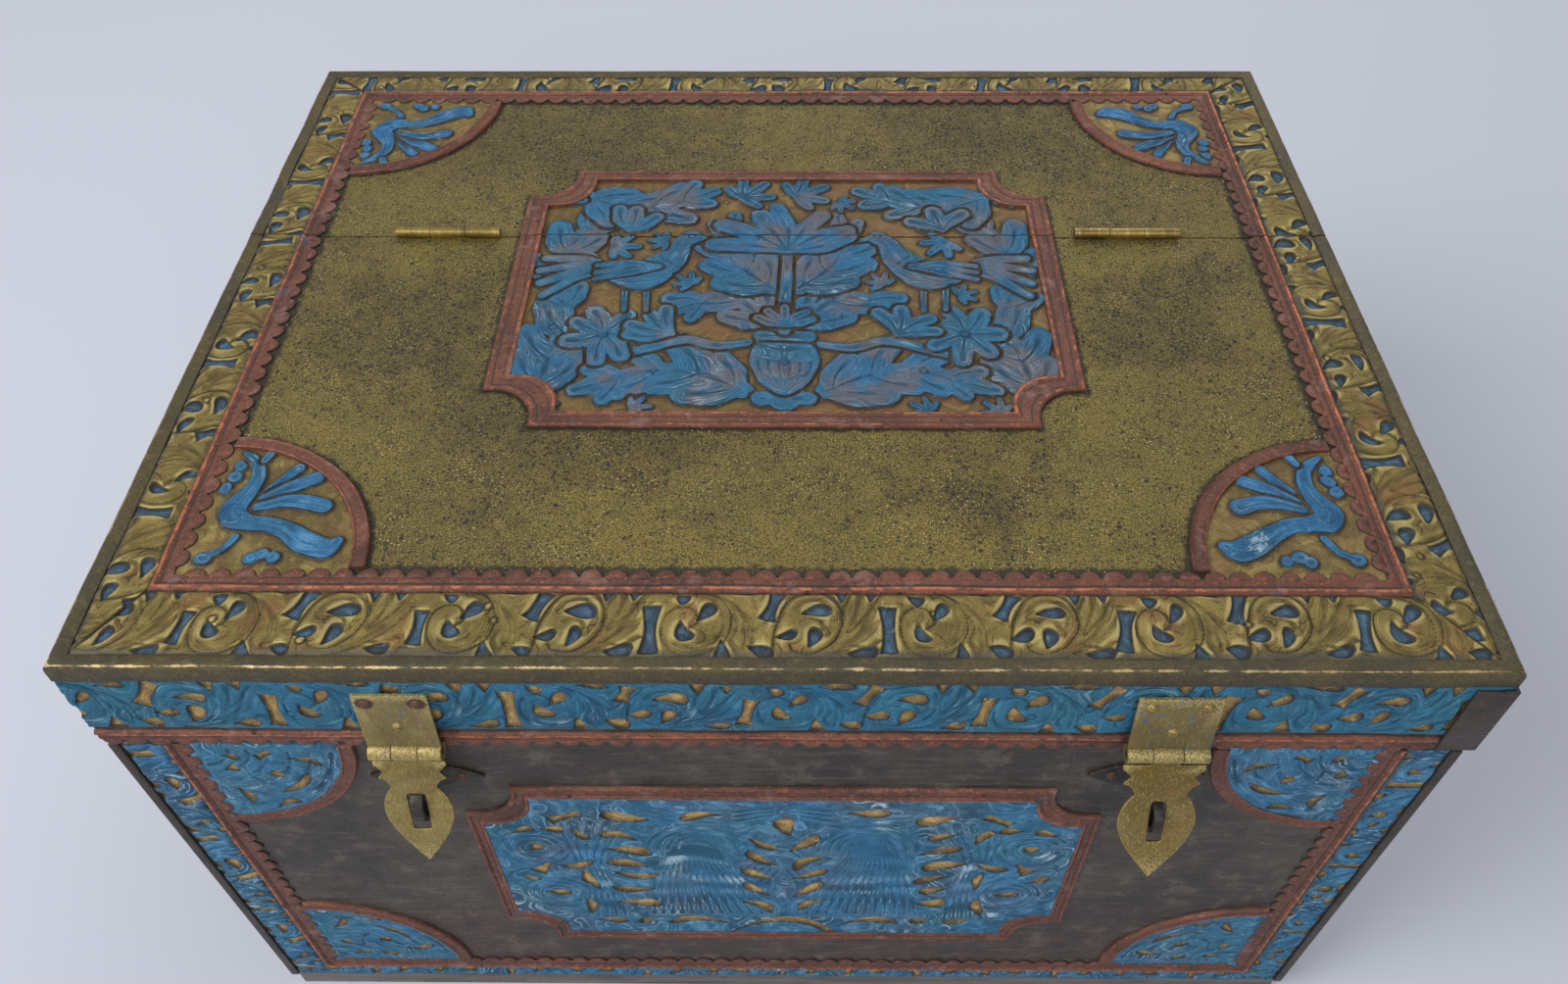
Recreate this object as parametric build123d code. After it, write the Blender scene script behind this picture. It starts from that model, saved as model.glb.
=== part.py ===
from build123d import *
from math import cos, radians, sin, sqrt
import os

# Storage trunk clad in embossed brass and copper, millimetres, +Z up.
# The origin is the middle of the underside. The front, with the hasps, faces -Y.

# Driving sizes of the whole trunk
WIDTH = 520.0
DEPTH = 401.2
TOP_Z = 306.0
LID_SPLIT_Y = 49.0
SPLIT_GAP = 1.0
SKIRT_HEIGHT = 54.0
SKIRT_GAP = 0.5
BASE_HEIGHT = 15.5
BASE_INSET = 3.0

# Boards, sheets and raised work
BOARD = 12.0
SHEET = 0.8
RELIEF = 1.8
WALL_INSET = 0.8
BEAD_RADIUS = 2.3
MOULDING_WIDTH = 11.0
FLANGE = 1.2
FRAME_THICK = 2.1

# Scroll border on the top, from the outer edge to the copper moulding
BORDER_LEFT = 25.0
BORDER_RIGHT = 28.0
BORDER_FRONT = 34.5
BORDER_BACK = 21.5
EDGE_STRIP_WIDTH = 6.5
EDGE_STRIP_DROP = 9.0
EDGE_STRIP_LIP = 0.9
EDGE_ROUNDING = 0.8

# Corner fans and cartouches
FAN_RADIUS = 68.0
FAN_RADIUS_HIGH = 63.0
FAN_BAND = 6.3
TOP_CARTOUCHE = (257.0, 183.0)
TOP_CARTOUCHE_Y = 11.2
TOP_FRAME_SIDE = 10.5
TOP_FRAME_END = 8.3
FRONT_CARTOUCHE = (265.0, 151.0)
FRONT_CARTOUCHE_Z = 142.8
FRONT_FRAME_SIDE = 6.5
FRONT_FRAME_END = 8.5
NOTCH = 22.0
SHOULDER = 4.0

# Walls of the chest
WALL_FRIEZE = 20.5
BASE_FRIEZE = 11.0
CORNER_ANGLE = 4.0

# Skirt of the lid, with a plain bent piece over its right front corner
SKIRT_FRIEZE = 33.0
SKIRT_MOULDING = 10.0
CORNER_PIECE_FRONT = 14.0
CORNER_PIECE_SIDE = 30.0
CORNER_PIECE_TOP = 10.0
CORNER_PIECE_BOTTOM = 50.0
PLATE = 1.2

# Butt hinges of the lid
HINGE_X = (-163.0, 163.3)
HINGE_LENGTH = 50.0
HINGE_RADIUS = 2.4
HINGE_PIN_RADIUS = 1.1
HINGE_AXIS_RISE = 1.0
HINGE_LEAF = 1.0
HINGE_LEAF_DROP = 13.0
HINGE_SCREW_X = (-16.0, 0.0, 16.0)
HINGE_SCREW_DROP = 8.4
SCREW_HEAD_RADIUS = 2.2
SCREW_RADIUS = 1.2
SCREW_LENGTH = 9.0
RUNNING_FIT = 0.06
DRILL_FIT = 0.05
KNUCKLE_GAP = 0.3

# Hasps: middle x, axis y, axis below the top, outward hang in degrees, width, width of the slot
HASPS = {
    "left": (-141.3, -205.2, 48.5, 16.0, 27.5, 7.4),
    "right": (143.4, -206.4, 45.5, 23.0, 30.5, 6.0),
}
HASP_KNUCKLE = 3.6
HASP_PIN = 1.5
HASP_MIDDLE_SHARE = 0.38
HASP_TOP_DROP = 15.5
HASP_NAILS = ((-0.34, 5.0), (0.34, 5.0), (0.0, 18.0))

# Half outline of a swinging hasp leaf: share of its width, and distance below its pin
HASP_SHOULDER = ((0.500, 5.0), (0.510, 6.8), (0.390, 10.4), (0.475, 13.9))
HASP_EAR_CURVE = (0.370, 15.6)
HASP_WAIST = (0.320, 19.0)
HASP_BULGE = (0.485, 31.0)
HASP_FLANK = (0.330, 45.0)
HASP_TIP = 59.0
HASP_WAIST_HEADING = (0.9, -0.9)
HASP_TIP_HEADING = (-0.6, -0.8)
HASP_NECK = 7.0
SLOT_END = 41.4
SLOT_ROUNDING = 1.4

# Staples that come through the slots
STAPLE_RADIUS = 8.2
STAPLE_BAND = 2.6
STAPLE_SINK = 3.6
STAPLE_FOOT_ROOM = 3.6
STAPLE_SLACK = 1.2
STAPLE_SIDE_ROOM = 1.2
STAPLE_DRIVEN = 8.0
STAPLE_PLATE = (46.0, 18.0)
STAPLE_NAIL_X = 13.5

# Nails with low domed heads
NAIL_HEAD = 2.3
NAIL_RISE = 1.2
NAIL_SHANK = 0.9
NAIL_LENGTH = 8.0

# Drop handles on the two ends
HANDLE_Z = 206.0
HANDLE_ROD = 3.4
HANDLE_ARM_Y = 40.0
HANDLE_LUG_Y = 48.5
HANDLE_LUG = 6.0
HANDLE_LUG_RADIUS = 5.6
HANDLE_END_Y = 54.5
HANDLE_DROP = 40.0
HANDLE_STANDOFF = 9.5
HANDLE_ELBOW = 5.0
HANDLE_BEND = 14.0
HANDLE_PLATE = (128.0, 24.0)
HANDLE_PLATE_THICK = 1.6
HANDLE_NAIL_Y = (-58.0, -22.0, 22.0, 58.0)

# Places worked out from the sizes above
CLADDING = SHEET + RELIEF
HALF_W = WIDTH / 2
HALF_D = DEPTH / 2
LID_W = HALF_W - CLADDING
LID_D = HALF_D - CLADDING
WALL_W = LID_W - WALL_INSET
WALL_D = LID_D - WALL_INSET
BOARD_TOP = TOP_Z - CLADDING
BOARD_UNDER = BOARD_TOP - BOARD
FIELD_Z = TOP_Z - RELIEF
SKIRT_Z = TOP_Z - SKIRT_HEIGHT
BAND_TOP = TOP_Z - EDGE_STRIP_DROP
BAND_BOTTOM = BAND_TOP - SKIRT_FRIEZE
WALL_TOP = SKIRT_Z - SKIRT_GAP
LID_END = LID_SPLIT_Y - SPLIT_GAP / 2
DECK_END = LID_SPLIT_Y + SPLIT_GAP / 2
SHEET_W = WALL_W + CLADDING - CORNER_ANGLE
SHEET_D = WALL_D + CLADDING - CORNER_ANGLE
HINGE_AXIS_Z = TOP_Z + HINGE_AXIS_RISE
FIELD_LEFT = -HALF_W + BORDER_LEFT
FIELD_RIGHT = HALF_W - BORDER_RIGHT
FIELD_FRONT = -HALF_D + BORDER_FRONT
FIELD_BACK = HALF_D - BORDER_BACK
HASP_CHORD = sqrt(STAPLE_RADIUS**2 - STAPLE_SINK**2)
NOSE_BELOW_PIN = SLOT_END - STAPLE_FOOT_ROOM - HASP_CHORD
SLOT_START = NOSE_BELOW_PIN - HASP_CHORD - STAPLE_SLACK

pieces = {}


def add(name, *shapes):
    """Keep the solids of one named piece."""
    pieces[name] = [solid for shape in shapes for solid in shape.solids()]


def drill(names, holes):
    """Cut the same holes out of several named pieces."""
    for name in names:
        cut = []
        for solid in pieces[name]:
            box = solid.bounding_box()
            near = [hole for hole in holes if touches(box, hole.bounding_box())]
            for hole in near:
                solid = solid - hole
            cut.extend(solid.solids())
        pieces[name] = cut


def touches(one, other):
    """True where two bounding boxes meet."""
    low = (max(one.min.X, other.min.X), max(one.min.Y, other.min.Y), max(one.min.Z, other.min.Z))
    high = (min(one.max.X, other.max.X), min(one.max.Y, other.max.Y), min(one.max.Z, other.max.Z))
    return all(a <= b for a, b in zip(low, high))


def span(x0, x1, y0, y1, z0, z1):
    """A block between two corners."""
    block = Box(abs(x1 - x0), abs(y1 - y0), abs(z1 - z0))
    return Pos((x0 + x1) / 2, (y0 + y1) / 2, (z0 + z1) / 2) * block


def rod(start, end, radius):
    """A round bar from one point to another."""
    path = Vector(*end) - Vector(*start)
    return extrude(Plane(origin=Vector(*start), z_dir=path) * Circle(radius), amount=path.length)


# Faces of the trunk: local x runs to the right as seen from outside, local y runs up.
def top_face(z):
    return Plane(origin=(0, 0, z), x_dir=(1, 0, 0), z_dir=(0, 0, 1))


def front_face(y):
    return Plane(origin=(0, -y, 0), x_dir=(1, 0, 0), z_dir=(0, -1, 0))


def back_face(y):
    return Plane(origin=(0, y, 0), x_dir=(-1, 0, 0), z_dir=(0, 1, 0))


def left_face(x):
    return Plane(origin=(-x, 0, 0), x_dir=(0, -1, 0), z_dir=(-1, 0, 0))


def right_face(x):
    return Plane(origin=(x, 0, 0), x_dir=(0, 1, 0), z_dir=(1, 0, 0))


def area(x0, x1, y0, y1):
    """A rectangle between two corners, on a face."""
    return Pos((x0 + x1) / 2, (y0 + y1) / 2) * Rectangle(abs(x1 - x0), abs(y1 - y0))


def polygon(*points):
    """A straight-sided outline on a face."""
    return make_face(Polyline(*points, close=True))


def raised(face, shape, height):
    """A plate of the given outline that stands on a face."""
    return extrude(face * shape, amount=height)


def point(face, x, y):
    """A place on a face, as a point of the trunk."""
    return face.from_local_coords(Vector(x, y, 0))


def swept(face, points, profile):
    """A profile drawn to the right of and above a straight-legged path on a face, mitred at corners."""
    (x0, y0), (x1, y1) = points[:2]
    at = point(face, x0, y0)
    across = point(face, x0 + y1 - y0, y0 + x0 - x1) - at
    ahead = point(face, x1, y1) - at
    section = Plane(origin=at, x_dir=across, z_dir=ahead * -1)
    path = Polyline(*[point(face, x, y) for x, y in points])
    return sweep(section * profile, path=path, transition=Transition.RIGHT)


def moulding(face, points, width=MOULDING_WIDTH):
    """A copper strip: a half-round bead with a flat flange on its right."""
    bead = (Pos(BEAD_RADIUS, 0) * Circle(BEAD_RADIUS)) & area(0, 2 * BEAD_RADIUS, 0, BEAD_RADIUS)
    return swept(face, points, bead + area(0, width, 0, FLANGE))


def fan_parts(face, x, y, turn, radius=FAN_RADIUS):
    """A quarter-disc fan and the copper band round it; turn says which way its corner opens."""
    place = face * Pos(x, y) * Rot(0, 0, turn)
    quarter = Circle(radius) & area(0, radius, 0, radius)
    inner = quarter & Circle(radius - FAN_BAND)
    return extrude(place * inner, amount=RELIEF), extrude(place * (quarter - inner), amount=FRAME_THICK)


def cartouche(width, height):
    """A rectangle whose corners are scooped out between small square shoulders."""
    shape = Rectangle(width, height)
    for sx in (-1, 1):
        for sy in (-1, 1):
            corner = Pos(sx * width / 2, sy * height / 2)
            shape -= corner * Pos(-sx * SHOULDER, -sy * SHOULDER) * Circle(NOTCH - SHOULDER)
            shape -= corner * Rectangle(2 * NOTCH, 2 * SHOULDER)
            shape -= corner * Rectangle(2 * SHOULDER, 2 * NOTCH)
    return shape


def nail(face, x, y):
    """A nail with a low domed head, driven straight through a face, and the hole it needs."""
    seat = point(face, x, y)
    out = face.z_dir
    ball = (NAIL_HEAD**2 + NAIL_RISE**2) / (2 * NAIL_RISE)
    halfway = (NAIL_HEAD / 2, NAIL_RISE - ball + sqrt(ball**2 - NAIL_HEAD**2 / 4))
    profile = make_face([
        Polyline((0, NAIL_RISE), (0, -NAIL_LENGTH), (NAIL_SHANK, -NAIL_LENGTH), (NAIL_SHANK, 0), (NAIL_HEAD, 0)),
        ThreePointArc((NAIL_HEAD, 0), halfway, (0, NAIL_RISE)),
    ])
    turned = revolve(Plane.XZ * profile, Axis.Z)
    inner = seat - out * NAIL_LENGTH
    hole = rod(seat + out * DRILL_FIT, inner - out * DRILL_FIT, NAIL_SHANK + DRILL_FIT)
    return Plane(origin=seat, z_dir=out) * turned, hole


# Butt hinges: leaves against the two edges of the split, barrel proud of the top
def hinge_room():
    """The recess that each hinge needs in the boards and sheets beside the split."""
    low = TOP_Z - HINGE_LEAF_DROP - DRILL_FIT
    half = HINGE_LENGTH / 2 + DRILL_FIT
    deep = HINGE_LEAF + DRILL_FIT
    return [span(x - half, x + half, LID_SPLIT_Y - deep, LID_SPLIT_Y + deep, low, TOP_Z) for x in HINGE_X]


def hinge_screw(x, side):
    """A flat-headed screw through a leaf into the board on one side of the split, and its hole."""
    z = TOP_Z - HINGE_SCREW_DROP
    face_y = LID_SPLIT_Y + side * KNUCKLE_GAP / 2
    root_y = LID_SPLIT_Y + side * HINGE_LEAF
    end_y = root_y + side * SCREW_LENGTH
    head = rod((x, face_y, z), (x, root_y, z), SCREW_HEAD_RADIUS)
    shank = rod((x, root_y, z), (x, end_y, z), SCREW_RADIUS)
    head_hole = rod((x, LID_SPLIT_Y, z), (x, root_y, z), SCREW_HEAD_RADIUS + DRILL_FIT)
    shank_hole = rod((x, root_y - side * DRILL_FIT, z), (x, end_y + side, z), SCREW_RADIUS + DRILL_FIT)
    return head + shank, head_hole + shank_hole


def hinge_leaf(x, side, knuckles):
    """One leaf of a hinge: a flat plate that hangs down the split, with its share of the barrel."""
    y0 = LID_SPLIT_Y + side * KNUCKLE_GAP / 2
    y1 = LID_SPLIT_Y + side * HINGE_LEAF
    half = HINGE_LENGTH / 2
    shoulder = HINGE_AXIS_Z - HINGE_RADIUS - KNUCKLE_GAP
    leaf = span(x - half, x + half, y0, y1, TOP_Z - HINGE_LEAF_DROP, shoulder)
    for x0, x1 in knuckles:
        leaf += span(x + x0, x + x1, y0, y1, shoulder, HINGE_AXIS_Z)
        leaf += rod((x + x0, LID_SPLIT_Y, HINGE_AXIS_Z), (x + x1, LID_SPLIT_Y, HINGE_AXIS_Z), HINGE_RADIUS)
    bore = rod((x - half, LID_SPLIT_Y, HINGE_AXIS_Z), (x + half, LID_SPLIT_Y, HINGE_AXIS_Z),
               HINGE_PIN_RADIUS + RUNNING_FIT)
    leaf -= bore
    for screw_x in HINGE_SCREW_X:
        leaf -= hinge_screw(x + screw_x, side)[1]
    return leaf


def hinges():
    half = HINGE_LENGTH / 2
    third = HINGE_LENGTH / 6
    middle = [(-third + KNUCKLE_GAP / 2, third - KNUCKLE_GAP / 2)]
    outer = [(-half, -third - KNUCKLE_GAP / 2), (third + KNUCKLE_GAP / 2, half)]
    add("lid_hinge_leaves", *[hinge_leaf(x, -1, middle) for x in HINGE_X])
    add("deck_hinge_leaves", *[hinge_leaf(x, 1, outer) for x in HINGE_X])
    add("hinge_pins", *[rod((x - half, LID_SPLIT_Y, HINGE_AXIS_Z), (x + half, LID_SPLIT_Y, HINGE_AXIS_Z),
                            HINGE_PIN_RADIUS) for x in HINGE_X])
    for name, side, board in (("lid_hinge_screws", -1, "lid_board"), ("deck_hinge_screws", 1, "deck_board")):
        screws = [hinge_screw(x + dx, side) for x in HINGE_X for dx in HINGE_SCREW_X]
        add(name, *[screw for screw, _ in screws])
        drill([board], hinge_room() + [hole for _, hole in screws])
    drill(["lid_sheet", "deck_sheet"], hinge_room())


# Carcass of the chest
def chest_boards():
    add("bottom_board", span(-HALF_W + BASE_INSET, HALF_W - BASE_INSET,
                             -HALF_D + BASE_INSET, HALF_D - BASE_INSET, 0, BASE_HEIGHT))
    add("front_board", span(-WALL_W, WALL_W, -WALL_D, -WALL_D + BOARD, BASE_HEIGHT, WALL_TOP))
    add("back_board", span(-WALL_W, WALL_W, WALL_D - BOARD, WALL_D, BASE_HEIGHT, BOARD_UNDER))
    for name, side in (("left_board", -1), ("right_board", 1)):
        outer = side * WALL_W
        inner = side * (WALL_W - BOARD)
        low = span(inner, outer, -WALL_D + BOARD, WALL_D - BOARD, BASE_HEIGHT, WALL_TOP)
        high = span(inner, outer, DECK_END, WALL_D - BOARD, WALL_TOP, BOARD_UNDER)
        add(name, low + high)
    add("deck_board", span(-WALL_W, WALL_W, DECK_END, WALL_D, BOARD_UNDER, BOARD_TOP))


def end_face(side, outset):
    """The left or right end, with the sign that turns a place along Y into local x."""
    return (left_face(outset), -1) if side == "left" else (right_face(outset), 1)


# Thin sheets on the chest; the end sheets follow the step of the end boards
def chest_sheets():
    add("front_sheet", raised(front_face(WALL_D), area(-SHEET_W, SHEET_W, BASE_HEIGHT, WALL_TOP), SHEET))
    add("back_sheet", raised(back_face(WALL_D), area(-SHEET_W, SHEET_W, BASE_HEIGHT, BOARD_TOP), SHEET))
    ends = []
    for side in ("left", "right"):
        face, sign = end_face(side, WALL_W)
        low = area(-SHEET_D, SHEET_D, BASE_HEIGHT, WALL_TOP)
        high = area(sign * DECK_END, sign * SHEET_D, WALL_TOP, BOARD_TOP)
        ends.append(raised(face, low + high, SHEET))
    add("end_sheets", *ends)
    add("deck_sheet", raised(top_face(BOARD_TOP), area(-LID_W, LID_W, DECK_END, LID_D), SHEET))


# Embossed friezes, copper mouldings and corner fans on the walls
def wall_trim(face, half):
    """A U-shaped frieze and moulding, open at the top, and the fans that fill the corners inside it."""
    side = half - WALL_FRIEZE + CORNER_ANGLE
    base = BASE_HEIGHT + BASE_FRIEZE
    frieze = area(-half, half, BASE_HEIGHT, WALL_TOP) - area(-side, side, base, WALL_TOP)
    strip = moulding(face, [(side, WALL_TOP), (side, base), (-side, base), (-side, WALL_TOP)])
    inner = side - MOULDING_WIDTH
    low = base + MOULDING_WIDTH
    fans = [
        fan_parts(face, -inner, low, 0),
        fan_parts(face, inner, low, 90),
        fan_parts(face, inner, WALL_TOP, 180, FAN_RADIUS_HIGH),
        fan_parts(face, -inner, WALL_TOP, 270, FAN_RADIUS_HIGH),
    ]
    return raised(face, frieze, RELIEF), strip, [plate for plate, _ in fans], [band for _, band in fans]


def chest_trim():
    """Trim of the four walls; the back has no fans, and the deck's band and strip go round behind the lid."""
    strip_z = SKIRT_Z + SKIRT_MOULDING
    frieze, strip, fans, bands = wall_trim(front_face(WALL_D + SHEET), SHEET_W)
    add("front_frieze", frieze)
    add("front_moulding", strip)
    add("front_fans", *fans)
    back = back_face(WALL_D + SHEET)
    frieze, strip, _, _ = wall_trim(back, SHEET_W)
    add("back_frieze", frieze, raised(back, area(-SHEET_W, SHEET_W, BAND_BOTTOM, BAND_TOP), RELIEF))
    add("back_moulding", strip, moulding(back, [(-SHEET_W, strip_z), (SHEET_W, strip_z)], SKIRT_MOULDING))
    friezes, strips, end_fans = [], [], []
    for side in ("left", "right"):
        face, sign = end_face(side, WALL_W + SHEET)
        frieze, strip, found, found_bands = wall_trim(face, SHEET_D)
        reach = sorted((sign * DECK_END, sign * SHEET_D))
        friezes += [frieze, raised(face, area(*reach, BAND_BOTTOM, BAND_TOP), RELIEF)]
        strips += [strip, moulding(face, [(reach[0], strip_z), (reach[1], strip_z)], SKIRT_MOULDING)]
        end_fans += found
        bands += found_bands
    add("end_friezes", *friezes)
    add("end_mouldings", *strips)
    add("end_fans", *end_fans)
    return bands


def corner_angles():
    """Upright angle strips over the four corners of the walls."""
    angles = []
    for sx in (-1, 1):
        for sy, top in ((-1, WALL_TOP), (1, BAND_TOP)):
            x = sx * (WALL_W + CLADDING)
            y = sy * (WALL_D + CLADDING)
            along = span(x - sx * CORNER_ANGLE, x, sy * WALL_D, y, BASE_HEIGHT, top)
            across = span(sx * WALL_W, x, y - sy * CORNER_ANGLE, y, BASE_HEIGHT, top)
            angles.append(along + across)
    add("corner_angles", *angles)


# Front cartouche
def front_cartouche():
    width, height = FRONT_CARTOUCHE
    place = front_face(WALL_D + SHEET) * Pos(0, FRONT_CARTOUCHE_Z)
    inner = cartouche(width - 2 * FRONT_FRAME_SIDE, height - 2 * FRONT_FRAME_END)
    add("front_cartouche_panel", extrude(place * inner, amount=RELIEF))
    add("front_cartouche_frame", extrude(place * (cartouche(width, height) - inner), amount=FRAME_THICK))


# Boards and sheets of the lid
def lid_boards():
    add("lid_board", span(-LID_W, LID_W, -LID_D, LID_END, BOARD_UNDER, BOARD_TOP))
    add("lid_front_skirt", span(-LID_W, LID_W, -LID_D, -LID_D + BOARD, SKIRT_Z, BOARD_UNDER))
    for name, side in (("lid_left_skirt", -1), ("lid_right_skirt", 1)):
        add(name, span(side * (LID_W - BOARD), side * LID_W, -LID_D + BOARD, LID_END, SKIRT_Z, BOARD_UNDER))
    add("lid_sheet", raised(top_face(BOARD_TOP), area(-LID_W, LID_W, -LID_D, LID_END), SHEET))


# Embossed skirt friezes: a sheet over the whole skirt, raised above its plain lower band
def skirt_frieze(face, x0, x1):
    sheet = raised(face, area(x0, x1, SKIRT_Z, BAND_TOP), SHEET)
    return sheet + raised(face, area(x0, x1, BAND_BOTTOM, BAND_TOP), CLADDING)


def lid_skirt_trim():
    strip_z = SKIRT_Z + SKIRT_MOULDING
    add("lid_front_frieze", skirt_frieze(front_face(LID_D), -HALF_W, HALF_W))
    add("lid_end_friezes", skirt_frieze(left_face(LID_W), -LID_END, LID_D),
        skirt_frieze(right_face(LID_W), -LID_D, LID_END))
    front = front_face(LID_D + SHEET)
    left = left_face(LID_W + SHEET)
    right = right_face(LID_W + SHEET)
    stop = HALF_W - CORNER_PIECE_FRONT
    side_stop = -HALF_D + CORNER_PIECE_SIDE
    add("lid_skirt_moulding",
        moulding(front, [(-HALF_W, strip_z), (stop, strip_z)], SKIRT_MOULDING),
        moulding(left, [(-LID_END, strip_z), (LID_D, strip_z)], SKIRT_MOULDING),
        moulding(right, [(side_stop, strip_z), (LID_END, strip_z)], SKIRT_MOULDING))
    low = TOP_Z - CORNER_PIECE_BOTTOM
    high = TOP_Z - CORNER_PIECE_TOP
    add("lid_corner_piece",
        span(stop, HALF_W + PLATE, -HALF_D - PLATE, -HALF_D, low, high)
        + span(HALF_W, HALF_W + PLATE, -HALF_D, side_stop, low, high))


# Ornament on the top, in a lid part and a deck part
def strip_outline(name):
    """The mitred outline of one strip of the scroll border."""
    x0, x1 = -HALF_W + EDGE_STRIP_WIDTH, HALF_W - EDGE_STRIP_WIDTH
    y0, y1 = -HALF_D + EDGE_STRIP_WIDTH, HALF_D - EDGE_STRIP_WIDTH
    outlines = {
        "lid_front": [(x0, y0), (x1, y0), (FIELD_RIGHT, FIELD_FRONT), (FIELD_LEFT, FIELD_FRONT)],
        "lid_left": [(x0, y0), (FIELD_LEFT, FIELD_FRONT), (FIELD_LEFT, LID_END), (x0, LID_END)],
        "lid_right": [(x1, y0), (x1, LID_END), (FIELD_RIGHT, LID_END), (FIELD_RIGHT, FIELD_FRONT)],
        "deck_back": [(x0, y1), (FIELD_LEFT, FIELD_BACK), (FIELD_RIGHT, FIELD_BACK), (x1, y1)],
        "deck_left": [(x0, DECK_END), (FIELD_LEFT, DECK_END), (FIELD_LEFT, FIELD_BACK), (x0, y1)],
        "deck_right": [(x1, DECK_END), (x1, y1), (FIELD_RIGHT, FIELD_BACK), (FIELD_RIGHT, DECK_END)],
    }
    return polygon(*outlines[name])


def edge_strip(points):
    """The worn metal angle along the outer edge of the top."""
    profile = polygon((0, -EDGE_STRIP_DROP), (0, -EDGE_ROUNDING), (EDGE_ROUNDING, 0),
                      (EDGE_STRIP_WIDTH, -EDGE_STRIP_LIP), (EDGE_STRIP_WIDTH, -RELIEF),
                      (CLADDING, -RELIEF), (CLADDING, -EDGE_STRIP_DROP))
    return swept(top_face(TOP_Z), points, profile)


def top_trim():
    face = top_face(FIELD_Z)
    add("lid_border", *[raised(face, strip_outline("lid_" + side), RELIEF) for side in ("left", "front", "right")])
    add("deck_border", *[raised(face, strip_outline("deck_" + side), RELIEF) for side in ("left", "back", "right")])
    add("lid_edge_strip", edge_strip([(HALF_W, LID_END), (HALF_W, -HALF_D), (-HALF_W, -HALF_D), (-HALF_W, LID_END)]))
    add("deck_edge_strip", edge_strip([(-HALF_W, DECK_END), (-HALF_W, HALF_D), (HALF_W, HALF_D), (HALF_W, DECK_END)]))
    add("lid_moulding", moulding(face, [(FIELD_RIGHT, LID_END), (FIELD_RIGHT, FIELD_FRONT),
                                        (FIELD_LEFT, FIELD_FRONT), (FIELD_LEFT, LID_END)]))
    add("deck_moulding", moulding(face, [(FIELD_LEFT, DECK_END), (FIELD_LEFT, FIELD_BACK),
                                         (FIELD_RIGHT, FIELD_BACK), (FIELD_RIGHT, DECK_END)]))
    left = FIELD_LEFT + MOULDING_WIDTH
    right = FIELD_RIGHT - MOULDING_WIDTH
    front = FIELD_FRONT + MOULDING_WIDTH
    back = FIELD_BACK - MOULDING_WIDTH
    lid_fans = [fan_parts(face, left, front, 0), fan_parts(face, right, front, 90)]
    deck_fans = [fan_parts(face, right, back, 180), fan_parts(face, left, back, 270)]
    add("lid_fans", *[plate for plate, _ in lid_fans])
    add("lid_fan_bands", *[band for _, band in lid_fans])
    add("deck_fans", *[plate for plate, _ in deck_fans])
    return [band for _, band in deck_fans]


def top_cartouche():
    width, height = TOP_CARTOUCHE
    shift = Pos(0, TOP_CARTOUCHE_Y)
    inner = shift * cartouche(width - 2 * TOP_FRAME_SIDE, height - 2 * TOP_FRAME_END)
    frame = shift * cartouche(width, height) - inner
    halves = {"lid": area(-HALF_W, HALF_W, -HALF_D, LID_END), "deck": area(-HALF_W, HALF_W, DECK_END, HALF_D)}
    for name, half in halves.items():
        add(name + "_cartouche_panel", raised(top_face(FIELD_Z), inner & half, RELIEF))
        add(name + "_cartouche_frame", raised(top_face(FIELD_Z), frame & half, FRAME_THICK))


# Hasps
def hasp_axis(name):
    x, y, drop, hang, width, slot = HASPS[name]
    return Vector(x, y, TOP_Z - drop), hang, width, slot


def swinging_outline(width, slot):
    """The spade-shaped leaf below its pin, with its slot, drawn with the pin at the origin."""
    neck = width * HASP_MIDDLE_SHARE / 2 - KNUCKLE_GAP
    halves = []
    for side in (-1, 1):
        def at(share, below):
            return (side * share * width, -below)
        corners = [(0, -HASP_SHOULDER[0][1])] + [at(*spot) for spot in HASP_SHOULDER]
        edges = [Polyline(*corners)]
        edges.append(ThreePointArc(corners[-1], at(*HASP_EAR_CURVE), at(*HASP_WAIST)))
        headings = [(side * x, y) for x, y in (HASP_WAIST_HEADING, HASP_TIP_HEADING)]
        edges.append(Spline(at(*HASP_WAIST), at(*HASP_BULGE), at(*HASP_FLANK), (0, -HASP_TIP),
                            tangents=headings, tangent_scalars=[1, 1]))
        edges.append(Line((0, -HASP_TIP), (0, -HASP_SHOULDER[0][1])))
        halves.append(make_face(edges))
    middle = (SLOT_START + SLOT_END) / 2
    hole = Pos(0, -middle) * RectangleRounded(slot, SLOT_END - SLOT_START, SLOT_ROUNDING)
    return halves[0] + halves[1] + area(-neck, neck, -HASP_NECK, 0) - hole


def barrel(pin, x0, x1, radius):
    return rod(pin + Vector(x0, 0, 0), pin + Vector(x1, 0, 0), radius)


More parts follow.
